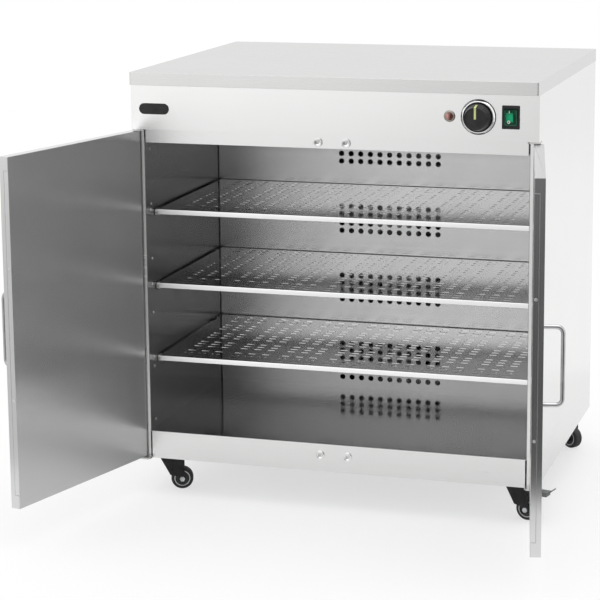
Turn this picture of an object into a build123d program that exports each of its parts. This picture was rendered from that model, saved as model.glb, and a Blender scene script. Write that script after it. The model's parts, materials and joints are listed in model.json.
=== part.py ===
from build123d import *
import os
from math import cos, radians, sin

# Plate warmer cabinet. Modelled with x across, y from the front edge of the worktop to
# the back, z up from the floor. The whole part is moved at the end so that its origin is
# the middle of the base of its box. All sizes are millimetres and degrees.

# --- overall ---
WIDTH = 750.0
DEPTH = 600.0
HEIGHT = 800.0
UNDERSIDE = 73.0            # floor to the underside of the base, the castors' height
PLINTH_HEIGHT = 52.0
PANEL_HEIGHT = 81.0         # control panel
RAIL_HEIGHT = 26.0          # top rail below the control panel

# --- sheets ---
SHEET = 1.0                 # outer panels, doors, front frame
LINER_SHEET = 0.8
WORKTOP_SHEET = 1.2
TRAY_SHEET = 1.2
FOLD = 12.0                 # width of a folded edge
FIT = 0.3                   # gap between neighbouring panels that only meet

# flats that stand for a round form which carries nothing that turns
PIN_SIDES = 8
WIRE_SIDES = 12
SMALL_SIDES = 16
LARGE_SIDES = 24

# --- worktop and control panel ---
WORKTOP_EDGE = 23.0
WORKTOP_CORNER = 3.0
PANEL_SETBACK = 7.0
PANEL_FLANGE = 52.0         # depth of the control panel's lower fold
CONTROL_Z_FROM_TOP = 63.0   # worktop surface to the middle of the controls
LAMP_X = 217.0
KNOB_X = 268.0
SWITCH_X = 325.0

# --- front frame ---
STILE_WIDTH = 18.2
FRAME_RETURN = 12.5         # how far the stile wraps round the side
RAIL_END_GAP = 2.8

# --- cavity ---
CAVITY_DEPTH = 425.0        # front edge to the inner back wall
CEILING_LIFT = 6.0          # ceiling above the rail's lower edge
LINER_BACK_FOLD = 12.0
BACK_PANEL_INSET = 5.0      # from the worktop's back edge
HOLE_RADIUS = 5.6
HOLE_PITCH_X = 19.6
HOLE_PITCH_Z = 15.0
HOLE_COLUMNS = 11
HOLE_ROWS = 3
HOLE_SIDES = 4
HOLES_ABOVE_SHELF = 60.5    # shelf to the middle of the hole group over it
HOLES_ABOVE_FLOOR = 36.0

# --- shelves ---
SHELF_NAMES = ("lower", "middle", "upper")
FIRST_SHELF = 136.0         # cavity floor to the top of the lowest shelf
SHELF_PITCH = 139.5
SHELF_FRONT = 60.0
SHELF_BACK_GAP = 5.0
SHELF_SIDE_GAP = 6.5
SHELF_LIP = 9.6
SLOT_RUN = 71.0             # one run of slots, along the shelf
SLOT_WIDTH = 7.0
SLOT_RUN_PITCH = 93.0
SLOT_ROW_PITCH = 72.0
SLOT_RUNS = 7
SLOT_ROWS = 5
CLIP_WIDTH = 16.0
CLIP_LEDGE = 12.0
CLIP_FROM_END = 14.0
CLIP_SHEET = 1.5
STUD_RADIUS = 7.5           # collar between the wall and the end of a shelf
STUD_LENGTH = 4.0
STUD_FROM_END = 9.0

# --- doors ---
DOOR_THICKNESS = 18.0
DOOR_CLEARANCE = 3.5        # inside of a shut door to the front frame
DOOR_EDGE_GAP = 1.0         # side of the cabinet to the door's hinge edge
DOOR_MEETING_GAP = 3.0
DOOR_END_GAP = 1.0          # hinge plate to the door's end
HINGE_PLATE = 3.0
HINGE_PLATE_FRONT = 6.0
PIVOT_INSET = 6.0
PIVOT_FROM_INSIDE = 5.0
PIN_RADIUS = 2.5
PIN_LENGTH = 12.0
BUSH_RADIUS = 3.7
BUSH_COLLAR = 0.9           # how far the bush stands out of the door's end
RUNNING_GAP = 0.05
LEFT_DOOR_OPEN = 105.0
RIGHT_DOOR_OPEN = 101.0
EDGE_NOTCH = 24.0           # full-depth corner of the door's free edge
EDGE_SEAM = 8.5             # depth of the outer pan's free edge between the corners
INNER_FOLD_START = 22.0

# --- handles ---
HANDLE_WIRE_RADIUS = 4.0
HANDLE_CENTRES = 128.0
HANDLE_REACH = 35.0
HANDLE_BEND = 12.0
HANDLE_BEND_STEPS = 4
HANDLE_INSET = 35.0

# --- catches ---
CATCH_RADIUS = 8.0
CATCH_DEPTH = 3.1
CATCH_SPACING = 52.0
CATCH_BELOW_RAIL_MIDDLE = 2.0
CATCH_ABOVE_PLINTH_MIDDLE = 4.6

# --- controls ---
KNOB_RADIUS = 24.5
KNOB_FACE_RADIUS = 19.5
KNOB_LENGTH = 29.0
KNOB_SKIRT = 3.0
KNOB_WALL = 3.0
BEZEL_RADIUS = 31.0
BEZEL_HEIGHT = 5.0
BEZEL_BEVEL = 3.5
BEZEL_BORE = 16.0
THERMOSTAT_WIDTH = 44.0
THERMOSTAT_HEIGHT = 40.0
THERMOSTAT_DEPTH = 32.0
SPINDLE_RADIUS = 3.0
LAMP_BEZEL_RADIUS = 10.5
LAMP_LENS_RADIUS = 8.0
SWITCH_WIDTH = 31.0
SWITCH_HEIGHT = 39.0
SWITCH_RIM = 3.0
ROCKER_TILT = 6.0
ROCKER_PIVOT_DEPTH = 2.5    # panel's face to the line the rocker tips on
ROCKER_PIN_RADIUS = 1.5
ROCKER_PIN_REACH = 0.7

# --- air unit behind the inner back wall ---
FAN_Z = 398.0
IMPELLER_RADIUS = 70.0
IMPELLER_WIDTH = 26.0
BLADES = 8
SHAFT_RADIUS = 4.0
MOTOR_RADIUS = 40.0
MOTOR_LENGTH = 46.0
ELEMENT_RADIUS = 92.0
ELEMENT_TUBE = 4.0
BRACKET_WIDTH = 230.0
BRACKET_DEPTH = 70.0
BRACKET_HEIGHT = 80.0
BRACKET_SHEET = 1.5

# --- back panel ---
VENT_LENGTH = 130.0
VENT_HEIGHT = 5.0
VENT_PITCH = 14.0
VENT_ROWS = 3
VENT_COLUMN_PITCH = 240.0
VENTS_BELOW_CONTROLS = 10.0
GLAND_RADIUS = 11.0
GLAND_BORE = 4.5
GLAND_X = 300.0
GLAND_Z = 140.0

# --- castors ---
CASTOR_INSET_SIDE = 41.0
CASTOR_INSET_FRONT = 73.0
CASTOR_INSET_BACK = 48.0    # from the worktop's back edge
CASTOR_PLATE = 56.0
CASTOR_PLATE_SHEET = 2.5
RACE_RADIUS = 17.0
RACE_HEIGHT = 3.0
KING_RADIUS = 4.0
KING_NUT_RADIUS = 7.0
KING_NUT = 3.4
WHEEL_RADIUS = 21.0
WHEEL_WIDTH = 18.0
HUB_RADIUS = 14.5
TRAIL = 18.0
FORK_LENGTH = 45.0
FORK_SHEET = 2.4
AXLE_RADIUS = 3.0
AXLE_HEAD = 4.0
LEG_END_RADIUS = 8.0
PEDAL_DROP = 20.5           # race to the pedal's pivot
PEDAL_INSET = 3.8           # pivot to the fork's rear edge
PEDAL_PIN = 2.0
PEDAL_REACH = 48.0
FRONT_LEFT_SWIVEL = 20.0
FRONT_RIGHT_SWIVEL = -13.0
BACK_LEFT_SWIVEL = 150.0
BACK_RIGHT_SWIVEL = -35.0
BRAKED = ("front_right", "back_left")

# --- sizes that follow ---
HALF = WIDTH / 2
WORKTOP_UNDER = HEIGHT - WORKTOP_EDGE
PANEL_BOTTOM = WORKTOP_UNDER - PANEL_HEIGHT
RAIL_BOTTOM = PANEL_BOTTOM - RAIL_HEIGHT
FLOOR_Z = UNDERSIDE + PLINTH_HEIGHT
CEILING_Z = RAIL_BOTTOM + CEILING_LIFT
LINER_X = HALF - STILE_WIDTH                # outer face of the inner side walls
INNER_X = LINER_X - LINER_SHEET             # face of the cavity
RAIL_HALF = LINER_X - RAIL_END_GAP
FRAME_SETBACK = DOOR_THICKNESS + DOOR_CLEARANCE     # front face of stiles, rail and plinth
SIDE_FRONT = FRAME_SETBACK + FRAME_RETURN + FIT
BACK_FACE = DEPTH - BACK_PANEL_INSET        # outer face of the back panel
BACK_FRAME = BACK_FACE - SHEET              # back faces of the side panels
CONTROL_Z = HEIGHT - CONTROL_Z_FROM_TOP
SHELF_Z = [FLOOR_Z + FIRST_SHELF + i * SHELF_PITCH for i in range(len(SHELF_NAMES))]
POCKET_X = SWITCH_WIDTH / 2 - SWITCH_RIM - 1
POCKET_Z = SWITCH_HEIGHT / 2 - SWITCH_RIM - 1
DOOR_BOTTOM = UNDERSIDE + HINGE_PLATE + DOOR_END_GAP
DOOR_TOP = PANEL_BOTTOM - HINGE_PLATE - DOOR_END_GAP
DOOR_HINGE_X = -HALF + DOOR_EDGE_GAP
DOOR_FREE_X = -DOOR_MEETING_GAP / 2
PIVOT_X = -HALF + PIVOT_INSET
PIVOT_SETBACK = DOOR_THICKNESS - PIVOT_FROM_INSIDE
DOOR_MIDDLE = (DOOR_BOTTOM + DOOR_TOP) / 2
SHELF_HALF = INNER_X - SHELF_SIDE_GAP
SHELF_BACK = CAVITY_DEPTH - SHELF_BACK_GAP
RACE_BOTTOM = UNDERSIDE - CASTOR_PLATE_SHEET - RACE_HEIGHT
FORK_TOP = RACE_BOTTOM - 2 * RUNNING_GAP
FORK_HALF_WIDTH = WHEEL_WIDTH / 2 + 1.5 + FORK_SHEET
AIR_FRONT = CAVITY_DEPTH + LINER_SHEET      # rear face of the inner back wall
BRIDGE = AIR_FRONT + BRACKET_DEPTH          # front face of the bracket's bridge
IMPELLER_BACK = BRIDGE - 22.0
PEDAL_X = FORK_LENGTH / 2 - PEDAL_INSET
PEDAL_Z = RACE_BOTTOM - PEDAL_DROP


# a box given by its two corners
def block(x0, x1, y0, y1, z0, z1):
    middle = Pos((x0 + x1) / 2, (y0 + y1) / 2, (z0 + z1) / 2)
    return middle * Box(abs(x1 - x0), abs(y1 - y0), abs(z1 - z0))


# a cylinder about a line along y, from y0 to y1
def rod_along_y(radius, x, z, y0, y1):
    return Pos(x, (y0 + y1) / 2, z) * Rot(90, 0, 0) * Cylinder(radius, abs(y1 - y0))


# a cylinder about a line along x, from x0 to x1
def rod_along_x(radius, y, z, x0, x1):
    return Pos((x0 + x1) / 2, y, z) * Rot(0, 90, 0) * Cylinder(radius, abs(x1 - x0))


# a cylinder about a vertical line, from z0 to z1
def rod_along_z(radius, x, y, z0, z1):
    return Pos(x, y, (z0 + z1) / 2) * Cylinder(radius, abs(z1 - z0))


# a flat-sided round form about a line along y, its front edge bevelled if asked
def drum(radius, front, back, sides, bevel=0.0, length=None):
    ring = Plane.XZ.offset(-back) * RegularPolygon(radius, sides)
    solid = extrude(ring, back - front)
    if bevel:
        face = solid.faces().sort_by(Axis.Y)[0]
        solid = chamfer(face.edges(), bevel, length, reference=face if length else None)
    return solid


# the same about a vertical line
def post(radius, low, high, sides):
    return extrude(Plane.XY.offset(low) * RegularPolygon(radius, sides), high - low)


# the outline of a folded sheet: its outer line, and the same line moved in by the sheet
def fold_outline(points, sheet):
    inner = []
    for i, point in enumerate(points):
        here = Vector(*point)
        before = (here - Vector(*points[i - 1])).normalized() if i > 0 else None
        after = (Vector(*points[i + 1]) - here).normalized() if i + 1 < len(points) else None
        first = before or after
        second = after or before
        left_a = Vector(-first.Y, first.X)
        left_b = Vector(-second.Y, second.X)
        corner = (left_a + left_b) * (sheet / (1 + left_a.dot(left_b)))
        inner.append((here.X + corner.X, here.Y + corner.Y))
    return make_face(Polyline(*points, *reversed(inner), close=True).edges())


# a folded sheet whose section lies in (y, z) and runs along x
def fold_along_x(points, sheet, x0, x1):
    return extrude(Plane.YZ.offset(x0) * fold_outline(points, sheet), x1 - x0)


# a folded sheet whose section lies in (x, y) and runs up z
def fold_along_z(points, sheet, z0, z1):
    return extrude(Plane.XY.offset(z0) * fold_outline(points, sheet), z1 - z0)


def mirrored(part):
    return mirror(part, about=Plane.YZ)


# --- casing ---

# an open pan upside down, its edges folded under all round
def worktop():
    shell = block(-HALF, HALF, 0, DEPTH, WORKTOP_UNDER, HEIGHT)
    shell = fillet(shell.edges().filter_by(Axis.Z), WORKTOP_CORNER)
    t = WORKTOP_SHEET
    hollow = block(-HALF + t, HALF - t, t, DEPTH - t, WORKTOP_UNDER + t, HEIGHT - t)
    mouth = block(-HALF + FOLD, HALF - FOLD, FOLD, DEPTH - FOLD, WORKTOP_UNDER, HEIGHT - 2 * t)
    return shell - hollow - mouth


def control_panel():
    face = PANEL_SETBACK
    section = [
        (face + FOLD, WORKTOP_UNDER),
        (face, WORKTOP_UNDER),
        (face, PANEL_BOTTOM),
        (face + PANEL_FLANGE, PANEL_BOTTOM),
    ]
    panel = fold_along_x(section, SHEET, -HALF, HALF)
    ends = []
    for side in (-1, 1):
        outer = side * HALF
        ends.append(block(outer, outer - side * SHEET, face, SIDE_FRONT - FIT,
                          PANEL_BOTTOM, WORKTOP_UNDER))
    behind = SIDE_FRONT - FIT
    for inner, outer in ((HALF - FOLD - FIT, HALF), (-HALF, -HALF + FOLD + FIT)):
        panel -= block(inner, outer, behind, face + 2 * PANEL_FLANGE, PANEL_BOTTOM,
                       PANEL_BOTTOM + SHEET)
    panel = panel + ends
    through = (face - 1, face + SHEET + 1)
    panel -= Pos(LAMP_X, 0, CONTROL_Z) * drum(LAMP_LENS_RADIUS, *through, WIRE_SIDES)
    panel -= Pos(KNOB_X, 0, CONTROL_Z) * drum(SPINDLE_RADIUS + 2, *through, WIRE_SIDES)
    cut_x = SWITCH_WIDTH / 2 - SWITCH_RIM + FIT
    cut_z = SWITCH_HEIGHT / 2 - SWITCH_RIM + FIT
    return panel - block(SWITCH_X - cut_x, SWITCH_X + cut_x, *through,
                         CONTROL_Z - cut_z, CONTROL_Z + cut_z)


def side_panel_right():
    section = [
        (HALF - FOLD, SIDE_FRONT),
        (HALF, SIDE_FRONT),
        (HALF, BACK_FRAME),
        (HALF - FOLD - 2, BACK_FRAME),
    ]
    panel = fold_along_z(section, SHEET, UNDERSIDE, WORKTOP_UNDER)
    top_fold = block(HALF - FOLD, HALF - SHEET, SIDE_FRONT + SHEET, BACK_FRAME - SHEET,
                     WORKTOP_UNDER - SHEET, WORKTOP_UNDER)
    return panel + top_fold


def back_panel():
    edge = HALF - 2
    panel = block(-edge, edge, BACK_FRAME, BACK_FACE, UNDERSIDE + 2, WORKTOP_UNDER - 2)
    slot = Box(VENT_LENGTH, 4 * SHEET, VENT_HEIGHT)
    slots = []
    for column in (-1, 0, 1):
        for row in range(VENT_ROWS):
            lift = (row - (VENT_ROWS - 1) / 2) * VENT_PITCH - VENTS_BELOW_CONTROLS
            slots.append(Pos(column * VENT_COLUMN_PITCH, BACK_FRAME, CONTROL_Z + lift) * slot)
    inlet = Pos(GLAND_X, 0, GLAND_Z) * drum(GLAND_RADIUS - 4, BACK_FRAME - 1, BACK_FACE + 1,
                                            WIRE_SIDES)
    return panel - slots - inlet


# the underside, with its edges folded up inside the panels
def base_tray():
    edge = HALF - SHEET
    front = SIDE_FRONT
    back = BACK_FRAME - SHEET
    tray = block(-edge, edge, front, back, UNDERSIDE, UNDERSIDE + 2 * FOLD)
    t = TRAY_SHEET
    notch = block(edge - FOLD - FIT, edge + 1, front - 1, front + SHEET + FIT, UNDERSIDE - 1,
                  UNDERSIDE + 3 * FOLD)
    hollow = block(-edge + t, edge - t, front + SHEET + FIT + t, back - t, UNDERSIDE + t,
                   UNDERSIDE + 3 * FOLD)
    return tray - hollow - notch - mirrored(notch)


# --- front frame ---

def stile_right():
    inner = LINER_X
    section = [
        (inner, FRAME_SETBACK + FRAME_RETURN),
        (inner, FRAME_SETBACK),
        (HALF, FRAME_SETBACK),
        (HALF, FRAME_SETBACK + FRAME_RETURN),
    ]
    return fold_along_z(section, SHEET, UNDERSIDE + HINGE_PLATE, PANEL_BOTTOM - HINGE_PLATE)


def top_rail():
    section = [
        (FRAME_SETBACK + FOLD, PANEL_BOTTOM),
        (FRAME_SETBACK, PANEL_BOTTOM),
        (FRAME_SETBACK, RAIL_BOTTOM),
        (FRAME_SETBACK + FOLD, RAIL_BOTTOM),
    ]
    return fold_along_x(section, SHEET, -RAIL_HALF, RAIL_HALF)


# the cavity floor, folded down at the front as the plinth and back under it
def floor_deck():
    section = [
        (BACK_FRAME - SHEET, FLOOR_Z),
        (FRAME_SETBACK, FLOOR_Z),
        (FRAME_SETBACK, UNDERSIDE),
        (FRAME_SETBACK + FRAME_RETURN, UNDERSIDE),
    ]
    edge = HALF - SHEET
    deck = fold_along_x(section, SHEET, -edge, edge)
    behind_stile = SIDE_FRONT + SHEET + FIT
    face_end = block(RAIL_HALF, HALF, 0, FRAME_SETBACK + SHEET + FIT, UNDERSIDE - 1, FLOOR_Z + 1)
    foot_end = block(RAIL_HALF, HALF, 0, behind_stile, UNDERSIDE - 1, FLOOR_Z - 2 * SHEET)
    deck_end = block(LINER_X - FIT, HALF, 0, behind_stile, FLOOR_Z - 2 * SHEET, FLOOR_Z + 1)
    back_end = block(HALF - FOLD - 2 - FIT, HALF, BACK_FRAME - SHEET - FIT, BACK_FRAME,
                     FLOOR_Z - 2 * SHEET, FLOOR_Z + 1)
    ends = [face_end, foot_end, deck_end, back_end]
    return deck - ends - [mirrored(end) for end in ends]


# --- cavity walls ---

def liner_right():
    return block(INNER_X, LINER_X, FRAME_SETBACK + SHEET, CAVITY_DEPTH, FLOOR_Z, CEILING_Z)


def liner_ceiling():
    front = FRAME_SETBACK + FOLD + FIT
    section = [
        (front, RAIL_BOTTOM + SHEET),
        (front, CEILING_Z + LINER_SHEET),
        (CAVITY_DEPTH + LINER_SHEET, CEILING_Z + LINER_SHEET),
    ]
    ceiling = fold_along_x(list(reversed(section)), LINER_SHEET, -LINER_X, LINER_X)
    apron_gap = block(INNER_X - FIT, LINER_X + 1, 0, front + LINER_SHEET + 0.1,
                      RAIL_BOTTOM, CEILING_Z)
    return ceiling - apron_gap - mirrored(apron_gap)


# one group of air holes, HOLE_ROWS high and HOLE_COLUMNS wide, about a middle
def hole_group(z):
    hole = extrude(Plane.XZ.offset(-CAVITY_DEPTH - 2) *
                   RegularPolygon(HOLE_RADIUS, HOLE_SIDES, rotation=180 / HOLE_SIDES), 4)
    return [Pos(at.position.X, 0, z + at.position.Y) * hole
            for at in GridLocations(HOLE_PITCH_X, HOLE_PITCH_Z, HOLE_COLUMNS, HOLE_ROWS)]


def liner_back():
    back = CAVITY_DEPTH
    section = [
        (LINER_X, back + LINER_BACK_FOLD),
        (LINER_X, back),
        (-LINER_X, back),
        (-LINER_X, back + LINER_BACK_FOLD),
    ]
    wall = fold_along_z(list(reversed(section)), LINER_SHEET, FLOOR_Z, CEILING_Z)
    holes = hole_group(FLOOR_Z + HOLES_ABOVE_FLOOR)
    for z in SHELF_Z:
        holes += hole_group(z + HOLES_ABOVE_SHELF)
    return wall - holes


# --- shelves and what carries them ---

# a pan upside down with its top at z = 0, its edges folded under, and slotted for air
def shelf_pan():
    t = LINER_SHEET
    pan = block(-SHELF_HALF, SHELF_HALF, SHELF_FRONT, SHELF_BACK, -SHELF_LIP, 0)
    pan -= block(-SHELF_HALF + t, SHELF_HALF - t, SHELF_FRONT + t, SHELF_BACK - t,
                 -SHELF_LIP + t, -t)
    pan -= block(-SHELF_HALF + FOLD, SHELF_HALF - FOLD, SHELF_FRONT + FOLD, SHELF_BACK - FOLD,
                 -SHELF_LIP, -2 * t)
    slot = Box(SLOT_RUN, SLOT_WIDTH, 4 * t)
    middle = (SHELF_FRONT + SHELF_BACK) / 2
    places = GridLocations(SLOT_RUN_PITCH, SLOT_ROW_PITCH, SLOT_RUNS, SLOT_ROWS)
    return pan - [Pos(0, middle, 0) * place * slot for place in places]


# a low clip against the wall, its ledge under the shelf, with a round collar at one end
def shelf_clip(top, y, stud_y):
    under = top - SHELF_LIP
    section = [
        (INNER_X, top - 1),
        (INNER_X, under - CLIP_SHEET),
        (INNER_X - CLIP_LEDGE, under - CLIP_SHEET),
    ]
    outline = fold_outline(list(reversed(section)), CLIP_SHEET)
    clip = extrude(Plane.XZ.offset(-y) * outline, CLIP_WIDTH / 2, both=True)
    wall = INNER_X - CLIP_SHEET
    collar = Plane.YZ.offset(wall - STUD_LENGTH) * RegularPolygon(STUD_RADIUS, PIN_SIDES)
    return clip + Pos(0, stud_y, top + 0.5 - STUD_RADIUS) * extrude(collar, STUD_LENGTH)


def shelf_clips():
    clips = []
    for top in SHELF_Z:
        for end, inward in ((SHELF_FRONT, 1), (SHELF_BACK, -1)):
            clip = shelf_clip(top, end + inward * CLIP_FROM_END, end + inward * STUD_FROM_END)
            clips += [clip, mirrored(clip)]
    return clips


# --- doors, modelled shut on the left-hand side ---

def door_outer_pan():
    t = SHEET
    rim = DOOR_THICKNESS - t
    pan = block(DOOR_HINGE_X, DOOR_FREE_X, 0, rim, DOOR_BOTTOM, DOOR_TOP)
    pan -= block(DOOR_HINGE_X + t, DOOR_FREE_X - t, t, rim, DOOR_BOTTOM + t, DOOR_TOP - t)
    pan -= block(DOOR_FREE_X - t, DOOR_FREE_X, EDGE_SEAM, rim,
                 DOOR_BOTTOM + EDGE_NOTCH, DOOR_TOP - EDGE_NOTCH)
    seat = post(BUSH_RADIUS + RUNNING_GAP, DOOR_BOTTOM - t, DOOR_TOP + t, WIRE_SIDES)
    return pan - Pos(PIVOT_X, PIVOT_SETBACK, 0) * seat


# the inner skin lies on the outer pan's rim, its own folds reach in behind that rim
def door_inner_pan():
    t = SHEET
    face = DOOR_THICKNESS - t
    skin = block(DOOR_HINGE_X, DOOR_FREE_X, face, DOOR_THICKNESS, DOOR_BOTTOM, DOOR_TOP)
    start = DOOR_HINGE_X + INNER_FOLD_START
    end = DOOR_FREE_X - EDGE_NOTCH
    low = DOOR_BOTTOM + t + FIT
    high = DOOR_TOP - t - FIT
    bottom_fold = block(start, end, EDGE_SEAM, face, low, low + t)
    top_fold = block(start, end, EDGE_SEAM, face, high - t, high)
    side_fold = block(DOOR_FREE_X - t, DOOR_FREE_X, EDGE_SEAM + FIT, face,
                      DOOR_BOTTOM + EDGE_NOTCH + FIT, DOOR_TOP - EDGE_NOTCH - FIT)
    return skin + [bottom_fold, top_fold, side_fold]


# a plain bearing standing a little proud of each end of the door
def door_bushes():
    bushes = []
    for z, inward in ((DOOR_BOTTOM, 1), (DOOR_TOP, -1)):
        ends = (z - inward * BUSH_COLLAR, z + inward * PIN_LENGTH)
        bush = Pos(PIVOT_X, PIVOT_SETBACK, 0) * post(BUSH_RADIUS, *sorted(ends), WIRE_SIDES)
        bushes.append(bush - rod_along_z(PIN_RADIUS + RUNNING_GAP, PIVOT_X, PIVOT_SETBACK,
                                         DOOR_BOTTOM - 2, DOOR_TOP + 2))
    return bushes


# a wire bent to a D, its feet on the door's face
def door_handle():
    x = DOOR_FREE_X - HANDLE_INSET
    reach = HANDLE_REACH - HANDLE_WIRE_RADIUS
    half = HANDLE_CENTRES / 2
    bend = HANDLE_BEND
    turns = [radians(90 * step / HANDLE_BEND_STEPS) for step in range(HANDLE_BEND_STEPS + 1)]
    upper = [(x, -reach + bend * (1 - sin(turn)), half - bend * (1 - cos(turn)))
             for turn in turns]
    upper = [(x, 0, half)] + upper
    points = [(x, y, DOOR_MIDDLE - z) for x, y, z in upper]
    points += [(x, y, DOOR_MIDDLE + z) for x, y, z in reversed(upper)]
    section = Plane(origin=points[0], z_dir=(0, -1, 0)) * RegularPolygon(
        HANDLE_WIRE_RADIUS, WIRE_SIDES)
    return sweep(section, path=Polyline(*points), transition=Transition.RIGHT)


def swing(part, side, angle):
    axis = Axis((side * -PIVOT_X, PIVOT_SETBACK, 0), (0, 0, 1))
    return part.rotate(axis, side * angle)


def door_parts(side):
    angle = RIGHT_DOOR_OPEN if side > 0 else LEFT_DOOR_OPEN
    name = "door_right_" if side > 0 else "door_left_"
    shut = {
        "outer_pan": [door_outer_pan()],
        "inner_pan": [door_inner_pan()],
        "handle": [door_handle()],
        "bushes": door_bushes(),
    }
    parts = {}
    for piece, solids in shut.items():
        placed = [mirrored(solid) for solid in solids] if side > 0 else solids
        parts[name + piece] = [swing(solid, side, angle) for solid in placed]
    return parts


# --- hinges and catches ---

# plates with a rounded nose and a welded pin, under and over each door
def hinge_plates():
    plates = []
    reach = DOOR_END_GAP + PIN_LENGTH - 2
    for z, inward in ((UNDERSIDE, 1), (PANEL_BOTTOM, -1)):
        face = z + inward * HINGE_PLATE
        plate = block(-HALF, -RAIL_HALF - FIT, HINGE_PLATE_FRONT,
                      FRAME_SETBACK + FRAME_RETURN, z, face)
        front = plate.edges().filter_by(Axis.Z).group_by(Axis.Y)[0]
        plate = chamfer(front, PIVOT_INSET - 1.5)
        pin = post(PIN_RADIUS, *sorted((face - inward, face + inward * reach)), WIRE_SIDES)
        plate += Pos(PIVOT_X, PIVOT_SETBACK, 0) * pin
        plates += [plate, mirrored(plate)]
    return plates


def magnet_catches():
    cups = []
    heights = (RAIL_BOTTOM + RAIL_HEIGHT / 2 - CATCH_BELOW_RAIL_MIDDLE,
               UNDERSIDE + PLINTH_HEIGHT / 2 + CATCH_ABOVE_PLINTH_MIDDLE)
    for z in heights:
        for side in (-1, 1):
            x = side * CATCH_SPACING / 2
            cups.append(Pos(x, 0, z) * drum(CATCH_RADIUS, FRAME_SETBACK - CATCH_DEPTH,
                                            FRAME_SETBACK, WIRE_SIDES))
    return cups


# --- controls ---

# a drum on one of the controls' axes, given by its two distances ahead of the panel
def control(x, radius, near, far, sides, bevel=0.0, length=None):
    solid = drum(radius, PANEL_SETBACK - far, PANEL_SETBACK - near, sides, bevel, length)
    return Pos(x, 0, CONTROL_Z) * solid


def thermostat_bezel():
    ring = control(KNOB_X, BEZEL_RADIUS, 0, BEZEL_HEIGHT, LARGE_SIDES, BEZEL_BEVEL)
    return ring - control(KNOB_X, BEZEL_BORE, -1, BEZEL_HEIGHT + 1, SMALL_SIDES)


# a knob narrowing to its face, hollow behind, with a blind bore for the spindle in its boss
def thermostat_knob():
    wall = KNOB_WALL
    back = BEZEL_HEIGHT + FIT
    cap = KNOB_LENGTH - wall
    cone = control(KNOB_X, KNOB_RADIUS, back, KNOB_LENGTH, LARGE_SIDES,
                   KNOB_RADIUS - KNOB_FACE_RADIUS, KNOB_LENGTH - back - KNOB_SKIRT)
    hollow = control(KNOB_X, KNOB_FACE_RADIUS - wall, back - 1, cap, SMALL_SIDES)
    boss = control(KNOB_X, SPINDLE_RADIUS + wall, back + 2, cap, WIRE_SIDES)
    bore = rod_along_y(SPINDLE_RADIUS + RUNNING_GAP, KNOB_X, CONTROL_Z,
                       PANEL_SETBACK - cap, PANEL_SETBACK)
    return cone - hollow + boss - bore


def thermostat_spindle():
    return control(KNOB_X, SPINDLE_RADIUS, -SHEET - 4, KNOB_LENGTH - KNOB_WALL, WIRE_SIDES)


def thermostat_body():
    front = PANEL_SETBACK + SHEET
    half_x = THERMOSTAT_WIDTH / 2
    half_z = THERMOSTAT_HEIGHT / 2
    body = block(KNOB_X - half_x, KNOB_X + half_x, front, front + THERMOSTAT_DEPTH,
                 CONTROL_Z - half_z, CONTROL_Z + half_z)
    bore = rod_along_y(SPINDLE_RADIUS + RUNNING_GAP, KNOB_X, CONTROL_Z, front - 1, front + 4 + FIT)
    return body - bore


def lamp_bezel():
    ring = control(LAMP_X, LAMP_BEZEL_RADIUS, 0, 2.5, SMALL_SIDES, 1.2)
    return ring - control(LAMP_X, LAMP_LENS_RADIUS, -1, 4, WIRE_SIDES)


# a bevelled lens on the lamp's barrel
def lamp_lens():
    return control(LAMP_X, LAMP_LENS_RADIUS, -30.0, 5.0, WIRE_SIDES, 2.2)


# a flanged housing with a pocket for the rocker and a bore each side for its pins
def switch_housing():
    half_x = SWITCH_WIDTH / 2
    half_z = SWITCH_HEIGHT / 2
    rim = SWITCH_RIM
    face = PANEL_SETBACK
    flange = block(-half_x, half_x, face - 2, face, -half_z, half_z)
    body = block(-half_x + rim, half_x - rim, face, face + 24, -half_z + rim, half_z - rim)
    pocket = block(-POCKET_X, POCKET_X, face - 3, face + 12, -POCKET_Z, POCKET_Z)
    bore = rod_along_x(ROCKER_PIN_RADIUS + RUNNING_GAP, face + ROCKER_PIVOT_DEPTH, 0,
                       -half_x, half_x)
    return Pos(SWITCH_X, 0, CONTROL_Z) * (flange + body - pocket - bore)


# a shallow V face on two side pins, tipped to one side; heights are from the pins' line
def switch_rocker():
    half_x = POCKET_X - FIT
    half_z = POCKET_Z - 2 * FIT
    middle = ROCKER_PIVOT_DEPTH + 0.8
    edge = ROCKER_PIVOT_DEPTH + 3.0
    section = Polyline(
        (-half_z, edge), (0, middle), (half_z, edge), (half_z, edge - 6), (0, middle - 7.8),
        (-half_z, edge - 6), close=True,
    )
    along_x = Plane(origin=(-half_x, 0, 0), x_dir=(0, 0, 1), z_dir=(1, 0, 0))
    rocker = extrude(along_x * make_face(section.edges()), 2 * half_x)
    reach = POCKET_X + ROCKER_PIN_REACH
    pin = Plane.YZ.offset(-reach) * RegularPolygon(ROCKER_PIN_RADIUS, PIN_SIDES)
    rocker += extrude(pin, 2 * reach)
    place = Pos(SWITCH_X, PANEL_SETBACK + ROCKER_PIVOT_DEPTH, CONTROL_Z)
    return place * Rot(ROCKER_TILT, 0, 0) * rocker


# --- air unit ---

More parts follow.
